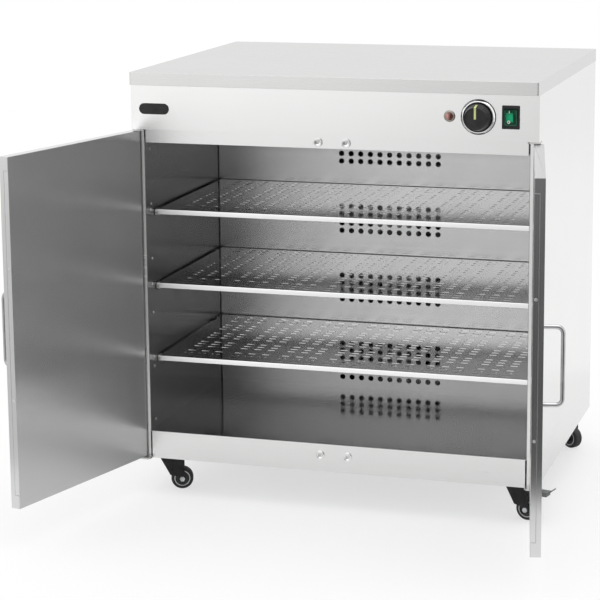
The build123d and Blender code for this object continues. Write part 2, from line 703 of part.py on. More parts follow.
# a folded bridge standing off the inner back wall
def fan_bracket():
    half = BRACKET_WIDTH / 2
    section = [
        (half + FOLD, AIR_FRONT), (half, AIR_FRONT), (half, BRIDGE),
        (-half, BRIDGE), (-half, AIR_FRONT), (-half - FOLD, AIR_FRONT),
    ]
    bridge = fold_along_z(list(reversed(section)), BRACKET_SHEET, FAN_Z - BRACKET_HEIGHT / 2,
                          FAN_Z + BRACKET_HEIGHT / 2)
    through = (BRIDGE - 5, BRIDGE + 5)
    bridge -= Pos(0, 0, FAN_Z) * drum(2 * SHAFT_RADIUS, *through, WIRE_SIDES)
    for x in (-ELEMENT_RADIUS, ELEMENT_RADIUS):
        bridge -= Pos(x, 0, FAN_Z) * drum(ELEMENT_TUBE + FIT, *through, WIRE_SIDES)
    return bridge


def fan_motor():
    face = BRIDGE + BRACKET_SHEET
    motor = Pos(0, 0, FAN_Z) * drum(MOTOR_RADIUS, face, face + MOTOR_LENGTH, SMALL_SIDES)
    shaft = rod_along_y(SHAFT_RADIUS, 0, FAN_Z, IMPELLER_BACK - IMPELLER_WIDTH + 6, face)
    return motor + shaft


# blades between a back disc and a front ring, on a hub that runs with the motor's shaft
def fan_impeller():
    back = IMPELLER_BACK
    front = back - IMPELLER_WIDTH
    radius = IMPELLER_RADIUS
    disc = drum(radius, back - 1.5, back, SMALL_SIDES)
    hub = drum(2 * SHAFT_RADIUS, front + 4, back, WIRE_SIDES)
    ring = drum(radius, front, front + 1.5, SMALL_SIDES)
    ring -= drum(radius * 0.74, front - 1, front + 3, SMALL_SIDES)
    blade = block(radius * 0.7, radius * 0.96, front + 1, back - 1, -0.75, 0.75)
    blades = [Rot(0, 360 * i / BLADES, 0) * blade for i in range(BLADES)]
    wheel = Pos(0, 0, FAN_Z) * (disc + hub + ring + blades)
    return wheel - rod_along_y(SHAFT_RADIUS + RUNNING_GAP, 0, FAN_Z, front - 1, back + 1)


# a loop of sheathed tube round the impeller, its two ends run back through the bridge
def heating_element():
    radius = ELEMENT_RADIUS
    y = IMPELLER_BACK
    end = BRIDGE + 14
    low = FAN_Z - radius
    cut = 0.3 * radius
    path = Polyline(
        (-radius, end, FAN_Z), (-radius, y, FAN_Z), (-radius, y, low + cut),
        (-radius + cut, y, low), (radius - cut, y, low), (radius, y, low + cut),
        (radius, y, FAN_Z), (radius, end, FAN_Z),
    )
    section = Plane(origin=(-radius, end, FAN_Z), z_dir=(0, -1, 0)) * RegularPolygon(
        ELEMENT_TUBE, WIRE_SIDES)
    return sweep(section, path=path, transition=Transition.RIGHT)


# --- back ---

def cable_gland():
    hexagon = RegularPolygon(GLAND_RADIUS, 6, major_radius=False)
    nut = extrude(Plane.XZ.offset(-BACK_FACE) * hexagon, -6.0)
    neck = drum(GLAND_RADIUS - 2, BACK_FACE + 6, BACK_FACE + 14, SMALL_SIDES)
    neck = chamfer(neck.edges().group_by(Axis.Y)[-1], 2.5)
    thread = drum(GLAND_RADIUS - 4, BACK_FRAME - 8, BACK_FACE, WIRE_SIDES)
    bore = drum(GLAND_BORE, BACK_FRAME - 20, BACK_FACE + 20, WIRE_SIDES)
    return Pos(GLAND_X, 0, GLAND_Z) * (nut + neck + thread - bore)


# --- castors, modelled about a swivel axis at the origin, trailing along +x ---

def castor_plate():
    half = CASTOR_PLATE / 2
    plate = block(-half, half, -half, half, UNDERSIDE - CASTOR_PLATE_SHEET, UNDERSIDE)
    race = post(RACE_RADIUS, RACE_BOTTOM, UNDERSIDE - CASTOR_PLATE_SHEET, WIRE_SIDES)
    nut_top = FORK_TOP - FORK_SHEET - 2 * RUNNING_GAP
    king = post(KING_RADIUS, nut_top, RACE_BOTTOM, WIRE_SIDES)
    hexagon = RegularPolygon(KING_NUT_RADIUS, 6, major_radius=False)
    nut = extrude(Plane.XY.offset(nut_top) * hexagon, -KING_NUT)
    return plate + race + king + nut


# a pressed fork with raked legs, and the axle bolt through its ends
def castor_fork():
    half = FORK_LENGTH / 2
    width = FORK_HALF_WIDTH
    top = FORK_TOP
    end = LEG_END_RADIUS
    foot = [(TRAIL + end * cos(radians(turn)), WHEEL_RADIUS + end * sin(radians(turn)))
            for turn in range(0, -211, -30)]
    leg = make_face(Polyline(
        (-half, top), (half, top), (half, WHEEL_RADIUS + end), *foot,
        (-half * 0.2, WHEEL_RADIUS + end), (-half, top - 2 * FORK_SHEET), close=True,
    ).edges())
    legs = [extrude(Plane.XZ.offset(-y) * leg, -FORK_SHEET)
            for y in (-width, width - FORK_SHEET)]
    web = block(-half, half, -width, width, top - FORK_SHEET, top)
    fork = web + legs
    fork -= rod_along_z(KING_RADIUS + RUNNING_GAP, 0, 0, top - 2 * FORK_SHEET, top + 1)
    bolt = drum(AXLE_RADIUS, -width, width, WIRE_SIDES)
    for face in (-width - AXLE_HEAD, width):
        bolt += drum(AXLE_RADIUS + 2, face, face + AXLE_HEAD, 6)
    return fork + Pos(TRAIL, 0, WHEEL_RADIUS) * bolt


# the rivet that the brake pedal tips on, through both legs of a fork
def pedal_rivet():
    width = FORK_HALF_WIDTH
    rivet = drum(PEDAL_PIN, -width, width, WIRE_SIDES)
    for face in (-width - 1.5, width):
        rivet += drum(1.8 * PEDAL_PIN, face, face + 1.5, WIRE_SIDES)
    return Pos(PEDAL_X, 0, PEDAL_Z) * rivet


# a moulded tyre, pressed on its hub
def castor_tyre():
    half = WHEEL_WIDTH / 2
    ring = drum(WHEEL_RADIUS, -half, half, SMALL_SIDES)
    for shoulder in (0, -1):
        ring = chamfer(ring.edges().group_by(Axis.Y)[shoulder], 2.0)
    seat = drum(HUB_RADIUS, -half - 1, half + 1, SMALL_SIDES)
    return Pos(TRAIL, 0, WHEEL_RADIUS) * (ring - seat)


# a hub with a boss on both sides, bored to run on the axle bolt
def castor_hub():
    half = WHEEL_WIDTH / 2
    boss = half + 1.3
    rim = drum(HUB_RADIUS, -half, half, SMALL_SIDES)
    core = drum(2 * AXLE_RADIUS, -boss, boss, WIRE_SIDES)
    bore = rod_along_y(AXLE_RADIUS + RUNNING_GAP, 0, 0, -boss - 1, boss + 1)
    return Pos(TRAIL, 0, WHEEL_RADIUS) * (rim + core - bore)


# the brake pedal: an arm between the fork's legs, a tab with a turned-up lip, and a pad
def castor_brake():
    x = PEDAL_X
    z = PEDAL_Z
    tab = z + 8
    end = x + PEDAL_REACH
    section = [
        (x - 4, z - 2), (x - 4, z + 4), (x + 12, tab + 2), (end - 8, tab + 2),
        (end, tab + 8), (end + 1.5, tab + 6.5), (end - 7, tab), (end - 10, tab),
        (end - 10, tab - 6), (end - 20, tab - 6), (end - 22, tab), (x + 13, tab), (x + 4, z - 2),
    ]
    outline = make_face(Polyline(*section, close=True).edges())
    pedal = extrude(Plane.XZ * outline, WHEEL_WIDTH / 2, both=True)
    return pedal - rod_along_y(PEDAL_PIN + RUNNING_GAP, x, z, -WHEEL_WIDTH, WHEEL_WIDTH)


def castor_parts():
    front = CASTOR_INSET_FRONT
    back = DEPTH - CASTOR_INSET_BACK
    side = HALF - CASTOR_INSET_SIDE
    stations = {
        "front_left": (-side, front, FRONT_LEFT_SWIVEL),
        "front_right": (side, front, FRONT_RIGHT_SWIVEL),
        "back_left": (-side, back, BACK_LEFT_SWIVEL),
        "back_right": (side, back, BACK_RIGHT_SWIVEL),
    }
    pieces = {
        "castor_fork_": castor_fork(),
        "castor_tyre_": castor_tyre(),
        "castor_hub_": castor_hub(),
    }
    plate = castor_plate()
    parts = {"castor_plates": []}
    for name, (x, y, swivel) in stations.items():
        place = Pos(x, y, 0) * Rot(0, 0, swivel)
        parts["castor_plates"].append(Pos(x, y, 0) * plate)
        for prefix, piece in pieces.items():
            parts[prefix + name] = [place * piece]
        if name in BRAKED:
            parts["castor_fork_" + name] = [place * (pieces["castor_fork_"] + pedal_rivet())]
            parts["castor_brake_" + name] = [place * castor_brake()]
    return parts


def all_parts():
    side = side_panel_right()
    stile = stile_right()
    liner = liner_right()
    parts = {
        "worktop": [worktop()],
        "control_panel": [control_panel()],
        "side_panel_left": [mirrored(side)],
        "side_panel_right": [side],
        "back_panel": [back_panel()],
        "base_tray": [base_tray()],
        "stile_left": [mirrored(stile)],
        "stile_right": [stile],
        "top_rail": [top_rail()],
        "floor_deck": [floor_deck()],
        "liner_left": [mirrored(liner)],
        "liner_right": [liner],
        "liner_ceiling": [liner_ceiling()],
        "liner_back": [liner_back()],
        "shelf_clips": shelf_clips(),
        "hinge_plates": hinge_plates(),
        "magnet_catches": magnet_catches(),
        "thermostat_bezel": [thermostat_bezel()],
        "thermostat_knob": [thermostat_knob()],
        "thermostat_spindle": [thermostat_spindle()],
        "thermostat_body": [thermostat_body()],
        "lamp_bezel": [lamp_bezel()],
        "lamp_lens": [lamp_lens()],
        "switch_housing": [switch_housing()],
        "switch_rocker": [switch_rocker()],
        "heating_element": [heating_element()],
        "fan_bracket": [fan_bracket()],
        "fan_motor": [fan_motor()],
        "fan_impeller": [fan_impeller()],
        "cable_gland": [cable_gland()],
    }
    pan = shelf_pan()
    for name, z in zip(SHELF_NAMES, SHELF_Z):
        parts["shelf_" + name] = [Pos(0, 0, z) * pan]
    parts.update(door_parts(-1))
    parts.update(door_parts(1))
    parts.update(castor_parts())
    return parts


# the origin goes to the middle of the base of the whole part's box
def write_parts(parts):
    everything = Compound([solid for solids in parts.values() for solid in solids])
    box = everything.bounding_box()
    shift = Pos(-box.center().X, -box.center().Y, -box.min.Z)
    os.makedirs("parts", exist_ok=True)
    for name, solids in parts.items():
        placed = [shift * solid for solid in solids]
        whole = placed[0] if len(placed) == 1 else Compound(children=placed)
        export_step(whole, "parts/" + name + ".step")
    print("moved by", [round(value, 4) for value in shift.position])


write_parts(all_parts())
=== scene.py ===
import json
import math
from types import SimpleNamespace

import bmesh
import bpy
import numpy as np
from mathutils import Matrix, Vector


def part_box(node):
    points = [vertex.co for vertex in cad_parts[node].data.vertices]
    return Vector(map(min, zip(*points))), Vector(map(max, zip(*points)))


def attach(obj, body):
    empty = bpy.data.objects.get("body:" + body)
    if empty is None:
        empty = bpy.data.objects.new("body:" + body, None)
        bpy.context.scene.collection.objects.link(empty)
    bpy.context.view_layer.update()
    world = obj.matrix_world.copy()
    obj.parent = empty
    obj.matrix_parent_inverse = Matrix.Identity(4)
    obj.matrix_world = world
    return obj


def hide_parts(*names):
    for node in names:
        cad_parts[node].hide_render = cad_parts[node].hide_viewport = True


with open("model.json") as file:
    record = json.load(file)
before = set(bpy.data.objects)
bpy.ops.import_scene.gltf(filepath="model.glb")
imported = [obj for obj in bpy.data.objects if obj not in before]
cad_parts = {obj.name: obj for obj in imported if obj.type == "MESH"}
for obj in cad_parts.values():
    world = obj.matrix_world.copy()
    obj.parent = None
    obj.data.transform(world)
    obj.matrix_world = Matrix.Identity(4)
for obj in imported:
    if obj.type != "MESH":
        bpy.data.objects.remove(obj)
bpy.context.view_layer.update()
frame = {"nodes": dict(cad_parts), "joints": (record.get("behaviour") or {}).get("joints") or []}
joints = {j["name"]: j for j in frame["joints"]}
print("frame loaded:", len(frame["nodes"]), "nodes")

# cabinet millimetres: x from the middle, y back from the worktop's front edge, z up
topLow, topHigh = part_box("worktop")
home = np.array([(topLow.x + topHigh.x) / 2, topLow.y, 0])
identity = np.eye(3)


def byName(sizes):
    # so that sizes["width"] is read as sizes.width
    return SimpleNamespace(**sizes)


def inCabinet(point):
    return (np.asarray(point, float) - home) * 1000


def cabinetBox(node):
    return [inCabinet(p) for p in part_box(node)]


def inRow(points, origin=(0, 0, 0), turn=identity):
    # turned about the local origin, moved to the cabinet place, then made metres of the row frame
    moved = np.asarray(points, float) @ np.asarray(turn).T + np.asarray(origin, float)
    return moved / 1000 + home


def placed(shape, origin=(0, 0, 0), turn=identity):
    return inRow(shape[0], origin, turn), shape[1]


def turnAboutZ(degrees):
    c, s = math.cos(math.radians(degrees)), math.sin(math.radians(degrees))
    return np.array([[c, -s, 0], [s, c, 0], [0, 0, 1]])


# --- shapes worked out as arrays, each a pair of points and faces ---

def pairs(first, second):
    # every pairing of the two lists, as rows
    return np.stack(np.meshgrid(first, second, indexing="ij"), -1).reshape(-1, 2)


def gridFaces(rows, columns, wrapRows=False, wrapColumns=False):
    # four neighbours on a rows by columns net make one face
    i, j = pairs(np.arange(rows if wrapRows else rows - 1),
                 np.arange(columns if wrapColumns else columns - 1)).T
    k, m = (i + 1) % rows, (j + 1) % columns
    return np.stack([i * columns + j, k * columns + j, k * columns + m, i * columns + m], 1)


def roundedLine(points, radius, steps):
    # each inner corner becomes a curve (1-t)^2 before + 2t(1-t) corner + t^2 after
    points = np.asarray(points, float)
    radius = np.broadcast_to(np.asarray(radius, float), (len(points) - 2,))[:, None]
    corner = points[1:-1]
    before = points[:-2] - corner
    after = points[2:] - corner
    before = corner + before / np.linalg.norm(before, axis=1)[:, None] * radius
    after = corner + after / np.linalg.norm(after, axis=1)[:, None] * radius
    t = np.linspace(0, 1, steps + 1)[None, :, None]
    arcs = (1 - t) ** 2 * before[:, None] + 2 * t * (1 - t) * corner[:, None] + t ** 2 * after[:, None]
    return np.vstack([points[:1], arcs.reshape(-1, points.shape[1]), points[-1:]])


def lathed(corners, radius, sides=96, steps=4, axis=(0, 1, 0), start=(1, 0, 0)):
    # a rounded line of (radius, height) swept about an axis: height * axis + radius * (cos u, sin u)
    profile = roundedLine(corners, radius, steps)
    axis, first = np.asarray(axis, float), np.asarray(start, float)
    second = np.cross(axis, first)
    u = np.arange(sides) * 2 * np.pi / sides
    ring = np.cos(u)[:, None] * first + np.sin(u)[:, None] * second
    points = profile[:, None, 0, None] * ring + profile[:, None, 1, None] * axis
    return points.reshape(-1, 3), gridFaces(len(profile), sides, wrapColumns=True)


def tubeAlong(path, radius, sides, flatNormal):
    # circles square to a path that lies in one plane: path + radius * (cos u * normal + sin u * side)
    along = np.gradient(path, axis=0)
    along /= np.linalg.norm(along, axis=1)[:, None]
    normal = np.asarray(flatNormal, float)
    side = np.cross(along, normal)
    u = np.arange(sides) * 2 * np.pi / sides
    points = path[:, None] + radius * (np.cos(u)[:, None] * normal + np.sin(u)[:, None] * side[:, None])
    return capped((points.reshape(-1, 3), gridFaces(len(path), sides, wrapColumns=True)), sides)


def piercedSheet(lines, firsts, span, holeHalf, holeRadius, thickness):
    # a net of lines, its cells opened to slots: a point on a cell's rim is drawn to the slot's
    # middle line, then set holeRadius from it, so the rim and the slot pair up point by point
    across, along = lines
    flat, cells, n = pairs(across, along), pairs(*firsts), np.arange(span)
    kept = np.ones((len(across) - 1, len(along) - 1), bool)
    inside = cells[:, None] + pairs(n, n)
    kept[inside[..., 0].ravel(), inside[..., 1].ravel()] = False
    faces = gridFaces(len(across), len(along))[kept.ravel()]
    near, far = 0 * n, 0 * n + span
    sides = ((n, near), (far, n), (span - n, far), (near, span - n))
    rim = np.vstack([np.column_stack(side) for side in sides])
    ring = cells[:, None] + rim
    outer = ring[..., 0] * len(along) + ring[..., 1]
    place = flat[outer]
    middle = (place.min(1) + place.max(1))[:, None] / 2
    core = np.clip(place - middle, [-holeHalf, 0], [holeHalf, 0])
    away = place - middle - core
    hole = middle + core + away / np.linalg.norm(away, axis=2)[..., None] * holeRadius
    inner = len(flat) + np.arange(outer.size).reshape(outer.shape)
    flat = np.vstack([flat, hole.reshape(-1, 2)])
    nextOuter, nextInner = np.roll(outer, -1, 1), np.roll(inner, -1, 1)
    top = np.vstack([faces, np.stack([outer, nextOuter, nextInner, inner], -1).reshape(-1, 4)])
    count = len(flat)
    wall = np.stack([inner, nextInner, nextInner + count, inner + count], -1).reshape(-1, 4)
    points = np.vstack([np.column_stack([flat, np.full(count, level)]) for level in (0, -thickness)])
    return points, np.vstack([top, top[:, ::-1] + count, wall])


def joined(shapes):
    # several shapes as one
    points, faces, start = [], [], 0
    for p, f in shapes:
        points.append(p)
        faces += [tuple(int(k) + start for k in face) for face in f]
        start += len(p)
    return np.vstack(points), faces


def shifted(shape, offset=(0, 0, 0), flip=(1, 1, 1)):
    # mirrored along the axes, then moved
    return shape[0] * np.array(flip) + np.array(offset), shape[1]


def capped(shape, ring):
    # closes both ends of a tube of that many sides
    points, faces = shape
    ends = [tuple(range(ring))[::-1], tuple(range(len(points) - ring, len(points)))]
    return points, [tuple(map(int, f)) for f in faces] + ends


def ringOfCorners(halfX, halfZ, corner, steps=6):
    # a rounded rectangle walked once, as (x, z)
    u = np.linspace(0, np.pi / 2, steps + 1)
    quarter = np.stack([np.cos(u), np.sin(u)], 1) * corner
    inset = np.array([halfX - corner, halfZ - corner])
    parts = [quarter * sign + sign * inset for sign in np.array([(1, 1), (-1, 1), (-1, -1), (1, -1)])]
    return np.vstack([parts[0], parts[1][::-1], parts[2], parts[3][::-1]])


def loftRings(rings):
    # rings with the same number of points, each one a row of the net, closed at both ends
    count = len(rings[0])
    return capped((np.vstack(rings), gridFaces(len(rings), count, wrapColumns=True)), count)


def atDepth(ring, forward):
    return np.column_stack([ring[:, 0], np.full(len(ring), forward), ring[:, 1]])


def plainBox(x0, x1, y0, y1, z0, z1):
    corners = [(x, y, z) for z in (z0, z1) for x, y in ((x0, y0), (x1, y0), (x1, y1), (x0, y1))]
    faces = [(3, 2, 1, 0), (4, 5, 6, 7), (0, 1, 5, 4), (1, 2, 6, 5), (2, 3, 7, 6), (3, 0, 4, 7)]
    return np.array(corners), faces


# --- pieces ---

meshRules = {"weld": 2e-6, "sliver": 1e-7, "flat": 0.01, "sharp": 0.6}  # metres, then radians
finish = {}  # every material by its name, filled below


def weld(bm):
    bmesh.ops.remove_doubles(bm, verts=bm.verts, dist=meshRules["weld"])


def easeEdges(bm, width):
    sharp = [e for e in bm.edges if len(e.link_faces) == 2 and e.calc_face_angle(0) > meshRules["sharp"]]
    bmesh.ops.bevel(bm, geom=sharp, offset=width / 1000, segments=2, profile=0.5,
                    affect="EDGES", clamp_overlap=True)


def newObject(name, data):
    obj = bpy.data.objects.new(name, data)
    bpy.context.scene.collection.objects.link(obj)
    return obj


def finished(bm, mesh, material, replaced, body, second, smoothAngle=35):
    # the mesh closed, shaded and painted, then told to the frame; second paints the faces it picks
    weld(bm)
    bmesh.ops.dissolve_degenerate(bm, edges=bm.edges, dist=meshRules["sliver"])
    bmesh.ops.recalc_face_normals(bm, faces=bm.faces)
    bm.to_mesh(mesh)
    bm.free()
    mesh.shade_smooth()
    mesh.set_sharp_from_angle(angle=math.radians(smoothAngle))
    obj = newObject(mesh.name, mesh)
    mesh.materials.append(finish[material])
    if second:
        mesh.materials.append(finish[second[0]])
        picks = [1 if second[1](inCabinet(p.center)) else 0 for p in mesh.polygons]
        mesh.polygons.foreach_set("material_index", picks)
    # normals weighted by face area, so that a small eased edge doesn't bend the shading of a wide flat
    weighted = obj.modifiers.new("flatNormals", "WEIGHTED_NORMAL")
    weighted.mode = "FACE_AREA"
    weighted.weight = 100
    weighted.keep_sharp = True
    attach(obj, body)
    if replaced:
        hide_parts(replaced)


def piece(name, shape, material, slotName, replaced=None, body="cabinet", bevel=0, smoothAngle=35,
          second=None):
    mesh = bpy.data.meshes.new(name)
    mesh.from_pydata(np.asarray(shape[0]).tolist(), [], [tuple(map(int, f)) for f in shape[1]])
    bm = bmesh.new()
    bm.from_mesh(mesh)
    weld(bm)
    if bevel:
        easeEdges(bm, bevel)
    finished(bm, mesh, material, replaced, body, second, smoothAngle)


def eased(node, name, material, body="cabinet", bevel=0.35, second=None):
    # the CAD shape with its loose triangles merged and its sharp edges eased
    bm = bmesh.new()
    bm.from_mesh(frame["nodes"][node].data)
    weld(bm)
    bmesh.ops.dissolve_limit(bm, angle_limit=meshRules["flat"], verts=bm.verts, edges=bm.edges)
    easeEdges(bm, bevel)
    finished(bm, bpy.data.meshes.new(name), material, node, body, second)


def camel(node):
    # side_panel_left gives sidePanelLeft
    first, *rest = node.split("_")
    return first + "".join(word.capitalize() for word in rest)


def paint(node, material):
    # a CAD node kept as it is, with its material slot filled
    slots = frame["nodes"][node].data.materials
    slots.clear()
    slots.append(finish[material])


# --- nodes: each goes into the tree that its first input belongs to ---

def feed(node, inputs):
    # an output of another node is linked to the input of that name, a plain value is set on it,
    # and one number given as a colour is a grey
    for label, value in inputs.items():
        socket = node.inputs[label]
        if isinstance(value, bpy.types.NodeSocket):
            node.id_data.links.new(value, socket)
        elif socket.type == "RGBA":
            socket.default_value = (*value, 1) if isinstance(value, tuple) else (value, value, value, 1)
        else:
            socket.default_value = value


def nodeOutputs(tree, kind, inputs, **settings):
    # a new node with its settings and inputs, given back as its outputs
    node = tree.nodes.new("ShaderNode" + kind)
    for label, value in settings.items():
        setattr(node, label, value)
    feed(node, inputs)
    return node.outputs


def mathNode(operation, first, second, clamp=False):
    inputs = {0: first, 1: second}
    return nodeOutputs(first.id_data, "Math", inputs, operation=operation, use_clamp=clamp)[0]


def noiseNode(vector, scale, detail=3, roughness=0.5, distortion=0):
    inputs = {"Vector": vector, "Scale": scale, "Detail": detail, "Roughness": roughness}
    return nodeOutputs(vector.id_data, "TexNoise", {**inputs, "Distortion": distortion})["Fac"]


def rangeNode(value, low, high, toLow=0, toHigh=1):
    inputs = {"Value": value, "From Min": low, "From Max": high, "To Min": toLow, "To Max": toHigh}
    return nodeOutputs(value.id_data, "MapRange", inputs)["Result"]


def fromNoise(noise, toLow, toHigh):
    # a noise's values lie mostly between 0.3 and 0.7
    return rangeNode(noise, 0.3, 0.7, toLow, toHigh)


def byMask(mask, off, on):
    return rangeNode(mask, 0, 1, off, on)


def mixColours(mask, first, second):
    # the mix node's colour sockets are its seventh and eighth inputs and its third output
    return nodeOutputs(mask.id_data, "Mix", {0: mask, 6: first, 7: second}, data_type="RGBA")[2]


def bumpNode(height, strength, distance, **under):
    inputs = {"Height": height, "Strength": strength, "Distance": distance, **under}
    return nodeOutputs(height.id_data, "Bump", inputs)["Normal"]


def groupNode(group, vector, **values):
    return nodeOutputs(vector.id_data, "Group", {"Vector": vector, **values}, node_tree=group)


# --- shared effects ---

def newGroup(name, inputs, outputs):
    # inputs with their starting values, three numbers for a vector; every output is one number
    group = bpy.data.node_groups.new(name, "ShaderNodeTree")
    for label, value in {"Vector": (0, 0, 0), **inputs}.items():
        kind = "NodeSocketVector" if isinstance(value, tuple) else "NodeSocketFloat"
        group.interface.new_socket(name=label, in_out="INPUT", socket_type=kind).default_value = value
    for label in outputs:
        group.interface.new_socket(name=label, in_out="OUTPUT", socket_type="NodeSocketFloat")
    return group, group.nodes.new("NodeGroupInput").outputs, group.nodes.new("NodeGroupOutput")


def makeGrainGroup():
    # long fine lines: noise read on coordinates squeezed along one direction
    group, given, out = newGroup("rolledGrain", {"Stretch": (6, 900, 900)}, ("Lines",))
    inputs = {0: given["Vector"], 1: given["Stretch"]}
    scaled = nodeOutputs(group, "VectorMath", inputs, operation="MULTIPLY")[0]
    feed(out, {"Lines": noiseNode(scaled, 1, 4, 0.65)})
    return group


def makeHandlingGroup():
    # soft blotches with a few sharper touches, as wiped metal and handled plastic have
    group, given, out = newGroup("handling", {"Size": 9, "Touch": 0.62}, ("Blotch", "Touches"))
    small = noiseNode(given["Vector"], 48, 5, 0.7, 0.6)
    feed(out, {"Blotch": noiseNode(given["Vector"], given["Size"], 4),
               "Touches": rangeNode(small, given["Touch"], 0.95)})
    return group


def makeDustGroup():
    # settles on faces that look up, broken by noise
    group, given, out = newGroup("settledDust", {"Amount": 0.2}, ("Mask",))
    facing = nodeOutputs(group, "NewGeometry", {})["Normal"]
    up = rangeNode(nodeOutputs(group, "SeparateXYZ", {0: facing})["Z"], 0.4, 1)
    mask = mathNode("MULTIPLY", up, noiseNode(given["Vector"], 130, 5, 0.7))
    feed(out, {"Mask": mathNode("MULTIPLY", mask, given["Amount"], clamp=True)})
    return group


grainGroup = makeGrainGroup()
handlingGroup = makeHandlingGroup()
dustGroup = makeDustGroup()


# --- finishes ---

def newMaterial(name):
    material = finish[name] = bpy.data.materials.new(name)
    material.use_nodes = True
    tree = material.node_tree
    return tree.nodes["Principled BSDF"], nodeOutputs(tree, "TexCoord", {})["Object"]


def sheetSteel(name, look):
    # rolled and lightly brushed stainless sheet
    look = byName(look)
    shader, place = newMaterial(name)
    lines = groupNode(grainGroup, place, Stretch=look.stretch)["Lines"]
    hands = groupNode(handlingGroup, place, Size=look.blotchSize, Touch=0.6)
    blotch = fromNoise(hands["Blotch"], 0, look.blotch)
    tone = mixColours(blotch, mixColours(lines, look.dark, look.light), look.dark)
    rough = fromNoise(lines, *look.rough)
    rough = mathNode("ADD", rough, mathNode("MULTIPLY", hands["Touches"], look.touch))
    rough = mathNode("ADD", rough, fromNoise(hands["Blotch"], 0, 0.02))
    waves = bumpNode(noiseNode(place, look.waveScale, 2), look.wave, 0.004)
    normal = bumpNode(lines, look.grain, 0.00004, Normal=waves)
    feed(shader, {"Base Color": tone, "Metallic": look.metal, "Roughness": rough, "Normal": normal})
    if look.spread:
        # upright polishing lines widen a reflection sideways and leave it sharp up and down
        level = nodeOutputs(shader.id_data, "Tangent", {}, direction_type="RADIAL", axis="Z")[0]
        feed(shader, {"Anisotropic": look.spread, "Tangent": level})


def handledSurface(name, look):
    # plating, paint, rubber or moulded plastic: cloudy tone, a little dust, fine pits
    look = byName(look)
    shader, place = newMaterial(name)
    hands = groupNode(handlingGroup, place, Size=look.cloud, Touch=look.touch)
    cloud = rangeNode(hands["Blotch"], 0.35, look.cloudEnd)
    dust = groupNode(dustGroup, place, Amount=look.dust)["Mask"]
    tone = mixColours(dust, mixColours(cloud, look.dark, look.light), look.dustTone)
    rough = fromNoise(hands["Blotch"], *look.rough)
    if look.wear:
        rough = mathNode("ADD", rough, mathNode("MULTIPLY", hands["Touches"], look.wear))
    pits = noiseNode(place, look.pitScale, 3, look.pitDetail)
    feed(shader, {"Base Color": tone, "Metallic": look.metal, "Roughness": rough,
                  "Normal": bumpNode(pits, look.pits, 0.0001),
                  "Specular IOR Level": look.gloss})


def galvanisedSheet(name):
    # zinc crystals: cells of slightly different tone and gloss
    shader, place = newMaterial(name)
    tree = shader.id_data
    cells = nodeOutputs(tree, "TexVoronoi", {"Vector": place, "Scale": 95})
    split = nodeOutputs(tree, "SeparateColor", {0: cells["Color"]})
    tone = mixColours(split["Red"], (0.5, 0.51, 0.52), (0.66, 0.67, 0.68))
    dust = groupNode(dustGroup, place, Amount=0.3)["Mask"]
    feed(shader, {"Base Color": mixColours(dust, tone, (0.5, 0.48, 0.45)), "Metallic": 1,
                  "Roughness": byMask(split["Green"], 0.34, 0.5),
                  "Normal": bumpNode(cells["Distance"], 0.1, 0.0002)})


def tintedLens(name, look):
    # coloured clear plastic with a glow behind its middle; on the lamp's lens that middle is set off to the
    # left, so the lighter glowing patch there is a painted reflection
    look = byName(look)
    shader, place = newMaterial(name)
    tree = shader.id_data
    middle = inRow([look.middle])[0]
    centre = [-m * s for m, s in zip(middle, look.spread)]
    inputs = {"Vector": place, "Location": centre, "Scale": look.spread}
    centred = nodeOutputs(tree, "Mapping", inputs, vector_type="POINT")[0]
    away = nodeOutputs(tree, "VectorMath", {0: centred}, operation="LENGTH")["Value"]
    flecks = fromNoise(noiseNode(place, 420), 0.8, 1.1)
    glow = mathNode("MULTIPLY", rangeNode(away, look.core, 1, 1, 0), flecks, clamp=True)
    hands = groupNode(handlingGroup, place, Size=200, Touch=0.6)
    feed(shader, {"Base Color": mixColours(glow, look.dark, look.light),
                  "Emission Color": mixColours(glow, 0, look.glow),
                  "Emission Strength": look.strength, "Specular IOR Level": 0.3,
                  "Roughness": fromNoise(hands["Blotch"], 0.08, 0.2),
                  "Coat Weight": look.coat, "Coat Roughness": 0.06})


